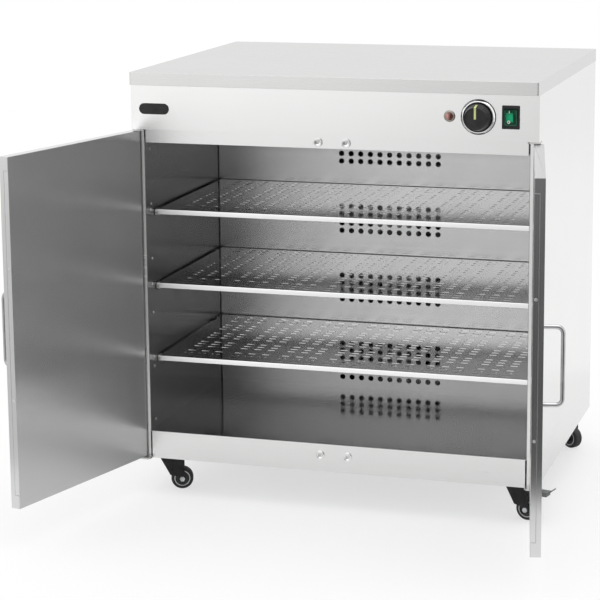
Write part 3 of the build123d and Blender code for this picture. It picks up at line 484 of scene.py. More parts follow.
# what a sheet has unless it says otherwise; stretch is the grain's fineness along x, y and z
anySheet = {"stretch": (6, 900, 900), "blotchSize": 12, "blotch": 0.15, "touch": 0.01, "waveScale": 12,
            "wave": 0.004, "grain": 0.05, "metal": 1, "spread": 0}
liningSheet = {"stretch": (700, 700, 8), "blotchSize": 10, "waveScale": 9, "wave": 0.002, "spread": 1}
sheets = {
    "worktopSteel": {"light": (0.64, 0.64, 0.635), "dark": (0.60, 0.60, 0.595), "rough": (0.23, 0.28),
                     "stretch": (5, 1100, 1100), "blotchSize": 7, "waveScale": 5, "grain": 0.12},
    "casingSteel": {"light": (0.775, 0.775, 0.77), "dark": (0.745, 0.745, 0.74), "rough": (0.22, 0.26),
                    "stretch": (6, 6, 1000), "blotchSize": 6, "blotch": 0.12, "waveScale": 4,
                    "grain": 0.08},
    "doorSteel": {"light": 0.70, "dark": 0.65, "rough": (0.14, 0.20), "blotchSize": 8,
                  "stretch": (900, 900, 5), "blotch": 0.12, "touch": 0.015, "waveScale": 5,
                  "grain": 0.12},
    "skinSteel": {"light": 0.62, "dark": 0.58, "rough": (0.18, 0.24), "blotchSize": 8,
                  "stretch": (700, 700, 5), "blotch": 0.12, "waveScale": 5, "wave": 0.002,
                  "grain": 0.08, "spread": 1, "metal": 0.75},
    "linerSteel": {**liningSheet, "light": 0.73, "dark": 0.71, "rough": (0.21, 0.23),
                   "grain": 0.01, "metal": 0.85},
    # the side walls: the lining steel painted about half as light as on the back wall and ceiling, a painted
    # shade
    "wallSteel": {**liningSheet, "light": 0.375, "dark": 0.355, "rough": (0.19, 0.21),
                  "grain": 0.03},
    # the shelves' front lip: the shelf steel painted much lighter, a painted highlight
    "lipSteel": {"light": 0.96, "dark": 0.92, "rough": (0.28, 0.34), "blotch": 0.1},
    "shelfSteel": {"light": 0.69, "dark": 0.65, "rough": (0.03, 0.05)},
    # the floor deck's top: the casing steel painted much darker, a painted shade
    "deckSteel": {"light": 0.34, "dark": 0.31, "rough": (0.07, 0.11), "waveScale": 10}}
for name, look in sheets.items():
    sheetSteel(name, {**anySheet, **look})

anyMetal = {"metal": 1, "touch": 0.58, "cloudEnd": 0.65, "dustTone": (0.55, 0.53, 0.5), "wear": 0.12,
            "pitDetail": 0.5, "gloss": 0.5}
metals = {
    "chromePlate": {"cloud": 60, "light": 0.86, "dark": 0.78, "dust": 0.05,
                    "rough": (0.06, 0.14), "pitScale": 900, "pits": 0.05},
    "handleChrome": {"cloud": 60, "light": (0.56, 0.56, 0.57), "dark": (0.46, 0.46, 0.47), "dust": 0.03,
                     "rough": (0.12, 0.2), "pitScale": 900, "pits": 0.05},
    "zincPlate": {"cloud": 90, "light": (0.66, 0.67, 0.69), "dark": (0.48, 0.48, 0.49), "dust": 0.2,
                  "rough": (0.3, 0.45), "pitScale": 1500, "pits": 0.2},
    "plainSteel": {"cloud": 40, "light": (0.62, 0.62, 0.61), "dark": (0.5, 0.49, 0.48), "dust": 0.1,
                   "rough": (0.28, 0.4), "pitScale": 1200, "pits": 0.2},
    "heatedSteel": {"cloud": 30, "light": (0.4, 0.37, 0.33), "dark": (0.2, 0.19, 0.2), "dust": 0.1,
                    "rough": (0.35, 0.55), "pitScale": 1500, "pits": 0.3}}
for name, look in metals.items():
    handledSurface(name, {**anyMetal, **look})
galvanisedSheet("galvanisedSheet")

anyPlastic = {"metal": 0, "touch": 0.6, "cloudEnd": 0.7, "dustTone": (0.42, 0.4, 0.38), "wear": 0,
              "pitDetail": 0.7, "gloss": 0.5}
switchInk = {"cloud": 90, "dust": 0, "pitScale": 2400, "rough": (0.4, 0.55), "pits": 0.1}
plastics = {
    "blackPlastic": {"cloud": 70, "light": (0.028, 0.028, 0.029), "dark": (0.012, 0.012, 0.013), "dust": 0.04,
                     "rough": (0.3, 0.42), "pitScale": 2600, "pits": 0.12, "gloss": 0.3},
    "castorBlack": {"cloud": 60, "light": (0.022, 0.022, 0.023), "dark": (0.009, 0.009, 0.01), "dust": 0.12,
                    "rough": (0.26, 0.42), "pitScale": 1400, "pits": 0.25, "gloss": 0.25},
    "tyreRubber": {"cloud": 50, "light": (0.035, 0.034, 0.033), "dark": 0.016, "dust": 0.35,
                   "rough": (0.5, 0.68), "pitScale": 1800, "pits": 0.35, "gloss": 0.4},
    "hubPlastic": {"cloud": 60, "light": (0.06, 0.06, 0.062), "dark": (0.03, 0.03, 0.031), "dust": 0.2,
                   "rough": (0.35, 0.5), "pitScale": 1600, "pits": 0.2},
    "greyPaint": {"cloud": 40, "light": (0.16, 0.165, 0.17), "dark": (0.1, 0.103, 0.108), "dust": 0.3,
                  "rough": (0.4, 0.55), "pitScale": 900, "pits": 0.3},
    "whiteMark": {**switchInk, "light": (0.86, 0.87, 0.85), "dark": (0.74, 0.75, 0.73)},
    "paleMark": {**switchInk, "light": (0.70, 0.76, 0.30), "dark": (0.62, 0.68, 0.25)},
    "rockerDark": {**switchInk, "light": (0.005, 0.06, 0.032), "dark": (0.003, 0.042, 0.022),
                   "rough": (0.2, 0.3), "pits": 0.05, "gloss": 0.15},
    # a lighter green for lines along the rocker's edges: painted highlights
    "rockerLine": {**switchInk, "light": (0.06, 0.24, 0.15), "dark": (0.04, 0.18, 0.11),
                   "rough": (0.1, 0.2), "pits": 0.05, "gloss": 0.3}}
for name, look in plastics.items():
    handledSurface(name, {**anyPlastic, **look})
print("materials made")

# --- controls ---

panelFace = cabinetBox("control_panel")[0][1]
knobAt = inCabinet(joints["thermostat_turn"]["pos_m"])
switchAt = inCabinet(joints["switch_rock"]["pos_m"])
lampLow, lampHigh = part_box("lamp_bezel")
lampAt = inCabinet((np.array(lampLow) + np.array(lampHigh)) / 2)

tintedLens("rockerGreen", {
    "middle": (switchAt[0], panelFace, switchAt[2]), "spread": (110, 20, 90), "core": 0.3, "coat": 0.1,
    "dark": (0, 0.20, 0.085), "light": (0, 0.33, 0.15), "glow": (0, 0.4, 0.17), "strength": 0.2})
# the lamp's lens is painted pinkish and glowing left of its middle and dark red on its right: a painted
# reflection of the bright room on a glossy red dome
tintedLens("lampAmber", {
    "middle": (lampAt[0] - 5, panelFace - 5, lampAt[2]), "spread": (150, 40, 70), "core": 0.3, "coat": 0.6,
    "dark": (0.12, 0.014, 0.007), "light": (0.58, 0.3, 0.25), "glow": (0.5, 0.25, 0.2), "strength": 0.1})


def onPanel(shape, at):
    # (x, forward, z) about a point of the panel's face
    return placed(shifted(shape, flip=(1, -1, 1)), (at[0], panelFace, at[2]))


bezelSize = {"radius": 31, "base": 1.7, "ringLow": 1.6, "ringEdge": 2.4, "ring": 30, "inner": 25.6,
             "height": 5}
knobSize = {"skirt": 23.6, "waist": 23.2, "face": 19.5, "length": 29, "back": 5.3, "dish": 0.6, "wall": 4,
            "hollow": 10}
pointerSize = {"halfWidth": 1.8, "start": -0.6, "wrap": 15, "proud": 0.3, "deep": 0.8}


def knobPieces():
    s = byName(bezelSize)
    hole = s.inner - 3
    shape = lathed([(s.radius, 0), (s.radius, s.base), (hole, s.base), (hole, 0), (s.radius, 0)],
                   [0.5, 0.3, 0.1])
    piece("thermostatBase", onPanel(shape, knobAt), "blackPlastic", "black_plastic",
          "thermostat_bezel", smoothAngle=30)
    ring, inner, height, low = s.ring, s.inner, s.height, s.ringLow
    shape = lathed([(ring, low), (ring, s.ringEdge), (ring - 2.6, height), (inner + 0.5, height),
                    (inner, height - 0.6), (inner, low), (ring, low)], [0.3, 0.7, 0.5, 0.2, 0.1])
    piece("thermostatRing", onPanel(shape, knobAt), "chromePlate", "chrome", smoothAngle=30)
    k = byName(knobSize)
    face, skirt, length, back = k.face, k.skirt, k.length, k.back
    low, inside = length - k.dish, skirt - k.wall
    shape = lathed([(0, low), (face - 2.4, low), (face - 1.4, length), (face, length), (k.waist, back + 4),
                    (skirt, back + 3), (skirt, back), (inside, back), (inside, length - k.hollow),
                    (0, length - k.hollow)], [0.4, 0.4, 0.8, 0.8, 0.6, 0.5, 0.5, 0.5], steps=5)
    piece("thermostatKnob", onPanel(shape, knobAt), "blackPlastic", "black_plastic", "thermostat_knob",
          "thermostat_knob", smoothAngle=40)
    # the pointer's line in (z, forward): over the face, over its rim, then back down the cone
    p = byName(pointerSize)
    proud = p.proud
    endZ = face + (k.waist - face) / (length - back - 4) * (length - p.wrap)
    upper = roundedLine([(p.start, low + proud), (face - 2.6, low + proud), (face - 1.5, length + proud),
                         (face + proud, length + proud), (endZ + proud, p.wrap)], [0.5, 0.5, 0.9], 4)
    lower = upper - np.array([p.deep * 0.7, p.deep])
    outline = np.vstack([upper, lower[::-1]])
    shape = loftRings([np.column_stack([np.full(len(outline), x), outline[:, 1], outline[:, 0]])
                       for x in (-p.halfWidth, p.halfWidth)])
    piece("knobPointer", onPanel(shape, knobAt), "paleMark", "black_plastic", body="thermostat_knob",
          smoothAngle=40)


lampSize = {"bezel": 10.2, "lens": 6.6, "height": 2.5, "dome": 4.6, "flat": 3.6, "deep": -3, "sides": 64}


def lampPieces():
    s = byName(lampSize)
    lens, height = s.lens, s.height
    shape = lathed([(s.bezel, 0), (s.bezel, 0.9), (lens + 1.2, height), (lens + 0.1, height),
                    (lens + 0.1, 0)], [0.4, 0.5, 0.4], s.sides)
    piece("lampRing", onPanel(shape, lampAt), "heatedSteel", "chrome", "lamp_bezel")
    shape = lathed([(0, s.dome), (s.flat, s.dome), (lens, height + 0.4), (lens, s.deep), (0, s.deep)],
                   [1.5, 1, 0.4], s.sides, 5)
    piece("lampLens", onPanel(shape, lampAt), "lampAmber", "lamp_amber", "lamp_lens")


# window and on are (left, right, low, high) on the rocker; off is the middle (x, z) of the round mark
# below the height where the black ends, the rocker's lower end is covered in black as a painted shadow
switchSize = {"width": 31, "height": 39, "rim": 4, "flange": 2, "lift": 1, "corner": 1.5, "tilt": 6,
              "middle": 1.9, "end": 3.6, "deep": -3, "pocket": -12, "window": (-8.4, 4.2, -6.9, 9.8),
              "proud": 0.35, "blackEnd": -12.2, "line": 0.7, "lineInset": 0.9, "on": (-2.7, -1.4, 9.4, 13.6),
              "off": (-3.4, -6.6), "offInner": (1.2, 1.4), "offOuter": (2.6, 2.9), "mark": 0.5}


def switchPieces():
    s = byName(switchSize)
    hx, hz, rim, lift, corner, flange = s.width / 2, s.height / 2, s.rim, s.lift, s.corner, s.flange
    top = hz + lift
    # (half width, half height, corner, forward, lift): the flange sits a little high about the rocker
    outer = [(hx, top, corner, 0, lift), (hx, top, corner, flange - 0.7, lift),
             (hx - 0.2, top - 0.2, corner, flange - 0.2, lift), (hx - 0.7, top - 0.7, corner, flange, lift),
             (hx - rim + 0.6, hz - rim + 0.6, 1, flange, 0),
             (hx - rim + 0.1, hz - rim + 0.1, 0.8, flange - 0.5, 0),
             (hx - rim, hz - rim, 0.8, s.pocket, 0)]
    shape = loftRings([atDepth(ringOfCorners(a, b, c) + np.array([0, up]), d) for a, b, c, d, up in outer])
    piece("switchFrame", onPanel(shape, switchAt), "blackPlastic", "black_plastic", "switch_housing")
    # the rocker's section is a shallow V in (z, forward), carried across the switch, its rim eased
    wide, tall = hx - rim - 0.3, hz - rim - 0.4
    pivot = switchAt[1] - panelFace
    tilt = math.radians(s.tilt)

    def tipped(points):
        # (x, forward, z) turned by the tilt about the pins, which lie behind the panel's face
        x, forward, z = points[:, 0], points[:, 1] + pivot, points[:, 2]
        return np.column_stack([x, forward * math.cos(tilt) + z * math.sin(tilt) - pivot,
                                z * math.cos(tilt) - forward * math.sin(tilt)])

    def rockerPiece(name, shape, material, **more):
        piece(name, onPanel(shape, switchAt), material, "rocker_green", body="switch_rocker", **more)

    section = roundedLine([(-tall, s.deep), (-tall, s.end), (0, s.middle), (tall, s.end),
                           (tall, s.deep)], [0.9, 5, 0.9], 6)
    across = np.array([-wide, -wide + 0.15, -wide + 0.6, 0, wide - 0.6, wide - 0.15, wide])
    sunk = np.array([0.7, 0.2, 0, 0, 0, 0.2, 0.7])
    z = section[None, :, 0] + np.zeros((len(across), 1))
    forward = section[None, :, 1] - np.where(section[None, :, 1] > 0, sunk[:, None], 0)
    x = across[:, None] + np.zeros_like(z)
    points = tipped(np.stack([x, forward, z], -1).reshape(-1, 3))
    shape = capped((points, gridFaces(len(across), len(section), wrapColumns=True)), len(section))
    rockerPiece("switchRocker", shape, "rockerDark", replaced="switch_rocker", smoothAngle=40)

    def onRocker(flat, proud):
        # flat points of (x, z) laid on the V, a little proud of it
        x, z = flat.T
        return tipped(np.column_stack([x, s.middle + (s.end - s.middle) / tall * np.abs(z) + proud, z]))

    def plate(name, outline, material, proud):
        # a thin plate of that outline, its rings lying along the V and its rim eased
        rings = ((outline, -0.2), (outline, proud - 0.12), (outline * 0.985, proud))
        rockerPiece(name, loftRings([onRocker(*ring) for ring in rings]), material)

    def bar(x0, x1, z0, z1, parts=9):
        # a straight strip with points along its length, so that it follows the V
        z = np.linspace(z0, z1, parts)
        return np.column_stack([np.repeat([x1, x0], parts), np.concatenate([z, z[::-1]])])

    plate("rockerWindow", bar(*s.window), "rockerGreen", s.proud)
    # end is where the painted shadow over the rocker's lower end stops
    edge, end, line = wide - s.lineInset, s.blackEnd, s.line
    # lighter lines along the rocker's sides and just above its black end: painted highlights
    for label, outline in (("Left", bar(-edge, -edge + line, end + line, tall - 1.4)),
                           ("Right", bar(edge - line, edge, end + line, tall - 1.4)),
                           ("Low", bar(-edge, edge, end, end + line, 2))):
        plate("rockerLine" + label, outline, "rockerLine", 0.25)
    # a black plate over the rocker's lower end: a painted shadow
    plate("rockerEnd", bar(-wide + 0.7, wide - 0.7, -tall + 0.9, end - 0.1, 3), "blackPlastic", 0.2)
    n = 40
    u = np.arange(n) * 2 * np.pi / n
    circle = np.stack([np.cos(u), np.sin(u)], 1)
    ring = np.vstack([onRocker(circle * half + s.off, s.mark) for half in (s.offInner, s.offOuter)])
    i = np.arange(n)
    k = (i + 1) % n
    i2, k2 = i + 2 * n, k + 2 * n
    faces = np.vstack([np.stack(side, 1) for side in (
        (i, k, k + n, i + n), (i2, i2 + n, k2 + n, k2), (i, i2, k2, k), (i + n, k + n, k2 + n, i2 + n))])
    rockerPiece("markOff", (np.vstack([ring, ring - np.array([0, s.mark, 0])]), faces), "whiteMark")
    plate("markOn", bar(*s.on), "whiteMark", s.mark)


badgeSize = {"x": -330.6, "z": 734, "halfX": 28.7, "halfZ": 10, "proud": 0.9}


def badgePiece():
    s = byName(badgeSize)
    halfX, halfZ, proud = s.halfX, s.halfZ, s.proud
    shape = loftRings([
        atDepth(ringOfCorners(halfX - inset, halfZ - inset, halfZ - inset - 0.01, 16), forward)
        for inset, forward in ((0, 0), (0, proud - 0.4), (0.12, proud - 0.12), (0.4, proud))])
    piece("bareBadge", onPanel(shape, (s.x, 0, s.z)), "blackPlastic", "black_plastic")


knobPieces()
lampPieces()
switchPieces()
badgePiece()
print("controls made")

# --- casing ---

casingSheets = ("control_panel", "side_panel_left", "side_panel_right", "stile_left", "stile_right",
                "top_rail")
plainNodes = {"casingSteel": ["back_panel"], "galvanisedSheet": ["base_tray", "fan_bracket", "fan_impeller"],
              # the side liners take the darker wall steel, which is a painted shade
              "wallSteel": ["liner_left", "liner_right"], "linerSteel": ["liner_ceiling"],
              "greyPaint": ["fan_motor"], "heatedSteel": ["heating_element"], "zincPlate": ["castor_plates"],
              "blackPlastic": ["thermostat_body", "cable_gland", "door_left_bushes", "door_right_bushes"],
              "plainSteel": ["thermostat_spindle", "hinge_plates"]}
deckTop = cabinetBox("floor_deck")[1][2]


def onDeck(point):
    # the deck's flat top, without the plinth folded down in front; this top gets the darker steel, a painted
    # shade
    return point[2] > deckTop - 0.2


eased("worktop", "worktopPan", "worktopSteel")
for node in casingSheets:
    eased(node, camel(node), "casingSteel")
# the deck's top is painted darker than its plinth, as a painted shade
eased("floor_deck", "floorDeck", "casingSteel", second=("deckSteel", onDeck))
for material, nodes in plainNodes.items():
    for node in nodes:
        paint(node, material)
print("casing made")

# --- inner back wall and shelves ---

levels = ("lower", "middle", "upper")
wallHoles = {"columns": 11, "rows": 3, "pitchX": 19.6, "pitchZ": 15, "radius": 5.5, "sheet": 0.8,
             "aboveShelf": 60.5, "aboveFloor": 36, "steps": 4}
slotBlocks = {"blocks": 7, "blockPitch": 93, "perBlock": 3, "slotPitch": 27, "slot": 17, "width": 7,
              "groups": 5, "groupPitch": 72, "rows": 3, "rowPitch": 18.5, "lip": 9.6, "back": 7,
              "sheet": 0.8, "edge": 3, "steps": 4}


def steppedLines(starts, cell, cells, steps, ends):
    # evenly stepped lines over runs of cells, with the sheet's own two edges
    runs = [start + np.arange(cells * steps + 1) * cell / steps for start in starts]
    lines = np.unique(np.round(np.concatenate([[ends[0]], *runs, [ends[1]]]), 5))
    corners = np.round([start + i * cell for start in starts for i in range(cells)], 5)
    return lines, np.searchsorted(lines, corners - 1e-4)


def runStarts(middle, runs, pitch, cells, cell):
    # where each run of cells begins, the runs being evenly spaced about the middle
    return [middle + (i - (runs - 1) / 2) * pitch - cells * cell / 2 for i in range(runs)]


def backWall():
    low, high = cabinetBox("liner_back")
    h = byName(wallHoles)
    steps, sheet = h.steps, h.sheet
    rows = [low[2] + h.aboveFloor] + [cabinetBox("shelf_" + n)[1][2] + h.aboveShelf for n in levels]
    xLines, xFirst = steppedLines([-h.columns * h.pitchX / 2], h.pitchX, h.columns, steps,
                                  (low[0], high[0]))
    zLines, zFirst = steppedLines([z - h.rows * h.pitchZ / 2 for z in rows], h.pitchZ, h.rows, steps,
                                  (low[2], high[2]))
    points, faces = piercedSheet((xLines, zLines), (xFirst, zFirst), steps, 0, h.radius, sheet)
    wall = np.column_stack([points[:, 0], low[1] - points[:, 2], points[:, 1]])
    # the folded ends, each a thin upright strip behind the wall
    ends = [plainBox(x, x + sheet, low[1] + sheet, high[1], low[2], high[2])
            for x in (low[0], high[0] - sheet)]
    piece("linerBack", placed(joined([(wall, faces), *ends])), "linerSteel", "liner_steel",
          "liner_back")


def shelfPiece(level):
    node = "shelf_" + level
    low, high = cabinetBox(node)
    s = byName(slotBlocks)
    steps, edge, sheet, lip, back = s.steps, s.edge, s.sheet, s.lip, s.back
    starts = runStarts(0, s.blocks, s.blockPitch, s.perBlock, s.slotPitch)
    xs, xFirst = steppedLines(starts, s.slotPitch, s.perBlock, steps, (low[0] + edge, high[0] - edge))
    starts = runStarts((low[1] + high[1]) / 2, s.groups, s.groupPitch, s.rows, s.rowPitch)
    ys, yFirst = steppedLines(starts, s.rowPitch, s.rows, steps, (low[1] + edge, high[1] - edge))
    radius = s.width / 2
    flat = piercedSheet((xs, ys), (xFirst, yFirst), steps, s.slot / 2 - radius, radius, sheet)
    # the folded rim: an outline of (out, up) carried round the sheet's edge, line by line
    outline = roundedLine([(0, 0), (edge, 0), (edge, -lip), (edge - back, -lip), (edge - back, -lip + sheet),
                           (edge - sheet, -lip + sheet), (edge - sheet, -sheet), (0, -sheet)],
                          [1.6, 1.2, 0.2, 0.2, 0.6, 0.9], 4)
    sides = ((xs, 0 * xs + ys[0]), (0 * ys + xs[-1], ys), (xs[::-1], 0 * xs + ys[-1]),
             (0 * ys + xs[0], ys[::-1]))
    path = np.vstack([np.column_stack(side)[:-1] for side in sides])
    out = np.stack([(path[:, k] == lines[-1]) * 1 - (path[:, k] == lines[0])
                    for k, lines in enumerate((xs, ys))] + [np.zeros(len(path))], 1)
    path = np.column_stack([path, np.full(len(path), high[2])])
    up = np.array([0, 0, 1])
    rim = path[:, None] + outline[None, :, 0, None] * out[:, None] + outline[None, :, 1, None] * up
    rim = (rim.reshape(-1, 3), gridFaces(len(path), len(outline), wrapRows=True))
    shape = joined([shifted(flat, (0, 0, high[2])), rim])
    # the lip's front faces get the lighter steel, a painted highlight
    piece(camel(node), placed(shape), "shelfSteel", "shelf_steel", node, node,
          second=("lipSteel", lambda p: p[1] < low[1] + 0.5))


seamSize = {"wide": 1.6, "deep": 1.6}


def cornerSeams():
    # a thin dark upright bead in each rear corner, where the side walls meet the back wall
    wallFace = cabinetBox("liner_right")[0][0]
    backFace = cabinetBox("liner_back")[0][1]
    ceiling = cabinetBox("liner_ceiling")[0][2]
    wide, deep = seamSize["wide"], seamSize["deep"]
    bead = plainBox(wallFace - wide, wallFace, backFace - deep, backFace, deckTop, ceiling)
    shape = joined([shifted(bead, flip=(side, 1, 1)) for side in (-1, 1)])
    piece("cornerSeams", placed(shape), "greyPaint", "liner_steel", bevel=0.3)


backWall()
cornerSeams()
for level in levels:
    shelfPiece(level)
print("back wall and shelves made")

# --- doors ---

doorFacts = {"handleInset": 35, "centres": 128, "reach": 35, "wire": 4, "drawn": 3.84, "bend": 12,
             "sides": 24, "edge": -1.5, "edgeBand": 2, "face": 0.5, "screwLift": 115, "screwBack": 13,
             "screw": (2.6, 0.4)}


def doorPlace(side):
    # the hinge's low limit is shut, so the stored pose is that angle away from it
    joint = joints["door_left_hinge" if side < 0 else "door_right_hinge"]
    pivot = inCabinet(joint["pos_m"])
    return np.array([pivot[0], pivot[1], 0]), turnAboutZ(-joint["range_deg"][0] * joint["axis"][2])


def screwHead(radius, height):
    # a low domed head that looks along +x
    corners = [(0, height), (radius * 0.75, height), (radius, height * 0.35), (radius, -0.2), (0, -0.2)]
    points, faces = lathed(corners, [radius * 0.3, radius * 0.15, 0.05], 32, 5)
    return points[:, [1, 0, 2]], faces


def doorPieces(side):
    name = "door_left" if side < 0 else "door_right"
    label = camel(name)
    f = byName(doorFacts)
    low, high = cabinetBox(name + "_outer_pan")
    middle = (low[2] + high[2]) / 2
    pivot, turn = doorPlace(side)

    def onDoor(shape):
        # points of the shut left-hand door, mirrored for the right, swung about the pivot
        points, faces = shifted(shape, -pivot, (-side, 1, 1))
        return placed((points, faces), pivot, turn)

    def isEdge(point):
        # the pan's free edge, found in the shut door's own directions
        return (((point - pivot) @ turn)[0] + pivot[0]) * -side > f.edge - f.edgeBand

    eased(name + "_outer_pan", label + "Outer", "doorSteel", name)
    eased(name + "_inner_pan", label + "Inner", "skinSteel", name, second=("doorSteel", isEdge))
    x, reach, half, face = f.edge - f.handleInset, f.reach - f.wire, f.centres / 2, f.face
    path = roundedLine([(x, face, middle - half), (x, -reach, middle - half), (x, -reach, middle + half),
                        (x, face, middle + half)], f.bend, 10)
    piece(label + "Handle", onDoor(tubeAlong(path, f.drawn, f.sides, (1, 0, 0))), "handleChrome",
          "chrome", name + "_handle", name)
    # the edge screws look out of the free edge
    shape = joined([shifted(screwHead(*f.screw), (f.edge, f.screwBack, middle + lift), (1, -1, 1))
                    for lift in (-f.screwLift, f.screwLift)])
    piece(label + "EdgeScrews", onDoor(shape), "zincPlate", "chrome", body=name)


for side in (-1, 1):
    doorPieces(side)
print("doors made")

# --- catches, wall buttons and clips ---

catchSize = {"radius": 8, "depth": 3.1, "groove": 5.4, "screw": 2.6, "sides": 64}


def catchPieces():
    low, high = cabinetBox("magnet_catches")
    s = byName(catchSize)
    radius, depth, groove, screw = s.radius, s.depth, s.groove, s.screw
    cup = lathed([(screw + 0.3, 0.8), (screw + 0.3, 2.2), (groove - 0.4, 2.6), (groove, 1), (groove + 0.7, 1),
                  (groove + 1, depth), (radius, depth), (radius, 0), (0, 0)],
                 [0.2, 0.3, 0.1, 0.1, 0.2, 0.5, 0.1], s.sides)
    head = lathed([(0, 1.7), (screw - 0.4, 1.7), (screw, 1.2), (screw, 0.2), (0, 0.2)], [0.3, 0.2, 0.1],
                  s.sides)
    spots = [(x, high[1], z) for x in (low[0] + radius, high[0] - radius)
             for z in (low[2] + radius, high[2] - radius)]
    for name, shape, material, replaced in (("magnetCups", cup, "chromePlate", "magnet_catches"),
                                            ("magnetScrews", head, "plainSteel", None)):
        shapes = joined([shifted(shape, spot, (1, -1, 1)) for spot in spots])
        piece(name, placed(shapes), material, "chrome", replaced)


buttonSize = {"count": 6, "first": 141, "pitch": 102.8, "back": 48, "radius": 2.6, "height": 1.4}


def wallButtons():
    # a row of buttons down the front of each side wall
    b = byName(buttonSize)
    face = cabinetBox("liner_left")[1][0]
    rows = []
    for i in range(b.count):
        button = shifted(screwHead(b.radius, b.height), (face, b.back, b.first + b.pitch * i))
        rows += [shifted(button, flip=(-side, 1, 1)) for side in (-1, 1)]
    piece("wallRivets", placed(joined(rows)), "zincPlate", "liner_steel")


clipSize = {"sheet": 1.5, "ledge": 12, "width": 16, "lip": 9.6, "fromEnd": 14, "stud": 9, "radius": 7.5,
            "length": 4, "dish": 0.9, "boltBack": 15, "bolt": (3.4, 2)}


def clipPieces():
    # an angle under the shelf and a round collar between the wall and the shelf's end
    c = byName(clipSize)
    sheet, radius, length = c.sheet, c.radius, c.length
    wall = cabinetBox("liner_right")[0][0]
    flange = wall - sheet
    face = length - c.dish
    collar = lathed([(0, face), (radius - 2.6, face), (radius - 1.8, length), (radius, length),
                     (radius, 0), (0, 0)], [0.4, 0.4, 0.6, 0.2], 48, axis=(-1, 0, 0), start=(0, 1, 0))
    angles, collars, bolts = [], [], []
    for level in levels:
        low, high = cabinetBox("shelf_" + level)
        top, under = high[2], high[2] - c.lip
        for y, inward in ((low[1], 1), (high[1], -1)):
            y0 = y + inward * c.fromEnd - c.width / 2
            y1 = y0 + c.width
            studAt = (flange, y + inward * c.stud, top + 0.5 - radius)
            boltAt = (wall, low[1] - c.boltBack, top + 1)
            for side in (-1, 1):
                flip = (side, 1, 1)
                for x0, x1, z1 in ((flange, wall, top - 1), (wall - c.ledge, flange, under)):
                    angles.append(shifted(plainBox(x0, x1, y0, y1, under - sheet, z1), flip=flip))
                collars.append(shifted(shifted(collar, studAt), flip=flip))
                if inward > 0:
                    bolts.append(shifted(shifted(screwHead(*c.bolt), boltAt, (-1, 1, 1)), flip=flip))
    piece("shelfAngles", placed(joined(angles)), "zincPlate", "chrome", "shelf_clips", bevel=0.3)
    piece("shelfCollars", placed(joined(collars)), "plainSteel", "chrome")
    piece("shelfBolts", placed(joined(bolts)), "zincPlate", "chrome")


catchPieces()
wallButtons()
clipPieces()
print("catches and clips made")

# --- castors ---

wheelSize = {"radius": 21, "width": 18, "hub": 14.5, "boss": 6, "bore": 3.05, "ring": 13.6,
             "shoulder": 1.6, "ringProud": 1.1, "bolt": 5.2, "boltFrom": 3.95}


def castorPlace(name):
    wheel = joints["wheel_" + name + "_roll"]
    centre = np.array(wheel["pos_m"])
    along = centre - np.array(joints["castor_" + name + "_swivel"]["pos_m"])
    along[2] = 0
    along /= np.linalg.norm(along)
    return inCabinet(centre), np.column_stack([along, wheel["axis"], (0, 0, 1)])


def castorPieces(name):
    centre, turn = castorPlace(name)
    label = camel("castor_" + name)
    w = byName(wheelSize)
    radius, hub, boss, bore, ring = w.radius, w.hub, w.boss, w.bore, w.ring
    half = w.width / 2
    shoulder = radius - w.shoulder

    def wheelPiece(part, shape, material, slotName, replaced=None):
        piece(label + part, placed(shape, centre, turn), material, slotName, replaced, "wheel_" + name)

    tyre = lathed([(hub, -half), (shoulder, -half), (radius, -half + 2.6), (radius, half - 2.6),
                   (shoulder, half), (hub, half), (hub, -half)], [1.2, 1.4, 1.4, 1.2, 0.3], steps=5)
    wheelPiece("Tyre", tyre, "tyreRubber", "tyre_rubber", "castor_tyre_" + name)
    web, side = half - 2.8, half - 0.4
    line = [(bore, half + 1.3), (boss, half + 1.3), (boss + 0.6, web), (ring - 1.4, web), (ring, side),
            (hub, side)]
    line = [(r, -h) for r, h in line] + line[::-1] + [(bore, -half - 1.3)]
    rounds = [0.4, 0.8, 0.6, 0.3, 0.2]
    wheelPiece("Hub", lathed(line, rounds + rounds[::-1] + [0.1]), "hubPlastic", "hub_grey",
               "castor_hub_" + name)
    inner, outer, proud = ring - 0.2, hub + 0.5, w.ringProud
    band = lathed([(inner, 0), (inner, proud), (outer, proud), (outer, 0), (inner, 0)], [0.4, 0.4, 0.1])
    rings = joined([shifted(band, (0, side * (half - 0.5), 0), (1, side, 1)) for side in (-1, 1)])
    wheelPiece("Ring", rings, "zincPlate", "hub_grey")

    def isBolt(point):
        # the axle bolt's two ends, outside the fork's legs
        x, y, z = (point - centre) @ turn
        return math.hypot(x, z) < w.bolt and abs(y) > half + w.boltFrom

    eased("castor_fork_" + name, label + "Fork", "castorBlack", "castor_" + name, bevel=0.5,
          second=("zincPlate", isBolt))
    brake = "castor_brake_" + name
    if brake in frame["nodes"]:
        eased(brake, label + "Pedal", "greyPaint", "brake_" + name, bevel=0.5)


for name in ("front_left", "front_right", "back_left", "back_right"):
    castorPieces(name)
print("castors made")

# --- studio ---

# tones of the room seen in steel: high above the horizon, low below it, behind and on the unlit side
studio = {"world": 0.78, "high": 1.18, "low": 0.72, "lowBehind": 1.08, "turnHigh": 0.35, "turnLow": 0.08,
          "darkSide": (0.407, -0.914, 0), "darkEdge": (0.848, 0.899), "horizon": (-0.152, -0.142),
          "floorRadius": 1.15, "floorTone": 0.82, "plainNear": 0.6, "plainGloss": 0.1, "fadeFrom": 0.5,
          "fadeTo": 1.1, "sides": 96}
# each lamp's place, what it points at, its size in metres and its power in watts
lamps = {"overhead": ((0.2, -0.5, 3.4), (0, -0.2, 0.4), 3, 36),
         "frontLeft": ((-1.9, -4.4, 1.4), (0, 0, 0.5), 2.4, 8),
         "backRight": ((3, 2.6, 1.8), (0.4, 0.1, 0.4), 2, 6)}


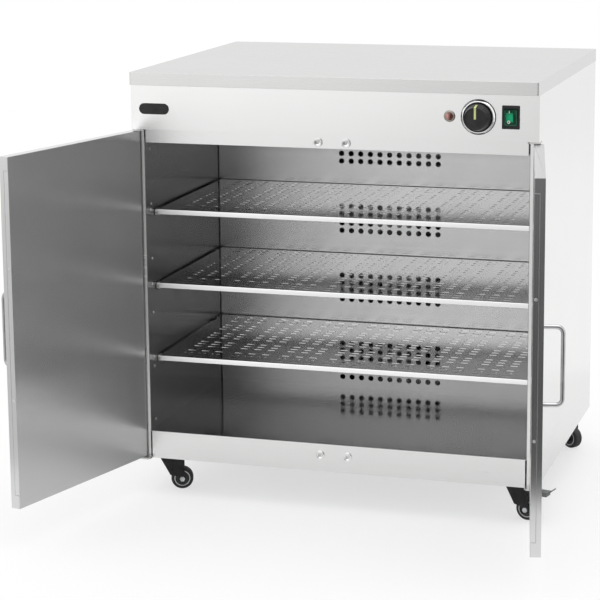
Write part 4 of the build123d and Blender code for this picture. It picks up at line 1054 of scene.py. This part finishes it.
def makeLamps():
    for label, (place, aim, size, power) in lamps.items():
        light = bpy.data.lights.new(label, "AREA")
        light.shape = "SQUARE"
        light.size = size
        light.energy = power
        lamp = newObject(label, light)
        lamp.location = place
        lamp.rotation_euler = (Vector(aim) - Vector(place)).to_track_quat("-Z", "Y").to_euler()


def directRays(tree):
    # the light path's outputs, and one that is on where the camera looks straight or through glass
    path = nodeOutputs(tree, "LightPath", {})
    return path, mathNode("MAXIMUM", path["Is Camera Ray"], path["Is Transmission Ray"])


def makeSky():
    # a soft room: bright walls over a paler far floor, and one unlit side at the front
    s = byName(studio)
    world = bpy.data.worlds.new("softStudio")
    bpy.context.scene.world = world
    world.use_nodes = True
    tree = world.node_tree
    heading = nodeOutputs(tree, "TexCoord", {})["Generated"]
    split = nodeOutputs(tree, "SeparateXYZ", {0: heading})
    toward = nodeOutputs(tree, "VectorMath", {0: heading, 1: s.darkSide}, operation="DOT_PRODUCT")["Value"]
    side = rangeNode(toward, *s.darkEdge)
    above = rangeNode(split["Z"], *s.horizon)
    high = rangeNode(split["Y"], -0.3, 0.3, s.high, 1)
    high = byMask(side, high, s.turnHigh)
    low = rangeNode(split["Y"], -0.5, 0.2, s.low, s.lowBehind)
    low = byMask(side, low, s.turnLow)
    room = byMask(above, low, high)
    path, direct = directRays(tree)
    lit = byMask(path["Is Glossy Ray"], s.world, 1)
    strength = byMask(direct, mathNode("MULTIPLY", room, lit), 1)
    feed(tree.nodes["Background"], {"Color": 1, "Strength": strength})


def makeFloor():
    # a round floor that keeps the shadow near the object and turns plain white toward its rim
    s = byName(studio)
    u = np.arange(s.sides) * 2 * np.pi / s.sides
    rim = np.column_stack([np.cos(u), np.sin(u), np.zeros(s.sides)]) * s.floorRadius
    mesh = bpy.data.meshes.new("studioFloor")
    mesh.from_pydata(rim.tolist(), [], [tuple(range(s.sides))])
    floor = newObject("studioFloor", mesh)
    material = bpy.data.materials.new("paleFloor")
    material.use_nodes = True
    tree = material.node_tree
    tree.nodes.clear()
    path, direct = directRays(tree)
    seen = mathNode("MAXIMUM", direct, path["Is Glossy Ray"])
    place = nodeOutputs(tree, "TexCoord", {})["Object"]
    away = nodeOutputs(tree, "VectorMath", {0: place}, operation="LENGTH")["Value"]
    near = byMask(direct, s.plainGloss, s.plainNear)
    far = rangeNode(away, s.fadeFrom, s.fadeTo, near, 1)
    tone = mixColours(seen, s.floorTone, 1)
    shaded = nodeOutputs(tree, "BsdfDiffuse", {"Color": tone})[0]
    plain = nodeOutputs(tree, "Emission", {"Strength": 1})[0]
    blend = nodeOutputs(tree, "MixShader", {0: mathNode("MULTIPLY", far, seen), 1: shaded, 2: plain})[0]
    nodeOutputs(tree, "OutputMaterial", {"Surface": blend})
    mesh.materials.append(material)


# metres and degrees; the focal length is in pixels of a frame that wide
view = {"place": (1.0448, -3.6449, 1.2087), "yaw": 17.200, "pitch": 10.800, "roll": -0.516, "focal": 2095,
        "frame": 600, "sensor": 36, "shiftY": -0.1, "near": 0.05, "far": 60}


def makeCamera():
    data = bpy.data.cameras.new("viewCamera")
    camera = newObject("viewCamera", data)
    v = byName(view)
    yaw, pitch, roll = (math.radians(angle) for angle in (v.yaw, v.pitch, v.roll))
    ahead = Vector((-math.sin(yaw) * math.cos(pitch), math.cos(yaw) * math.cos(pitch), -math.sin(pitch)))
    right = Vector((math.cos(yaw), math.sin(yaw), 0))
    up = right.cross(ahead)
    tippedRight = right * math.cos(roll) + up * math.sin(roll)
    tippedUp = up * math.cos(roll) - right * math.sin(roll)
    turn = Matrix((tippedRight, tippedUp, -ahead)).transposed()
    camera.matrix_world = Matrix.Translation(v.place) @ turn.to_4x4()
    data.sensor_width = v.sensor
    data.lens = v.focal / v.frame * v.sensor
    data.shift_y = v.shiftY
    data.clip_start, data.clip_end = v.near, v.far
    bpy.context.scene.camera = camera


makeLamps()
makeSky()
makeFloor()
makeCamera()
bpy.context.scene.view_settings.view_transform = "Standard"
print("studio made")
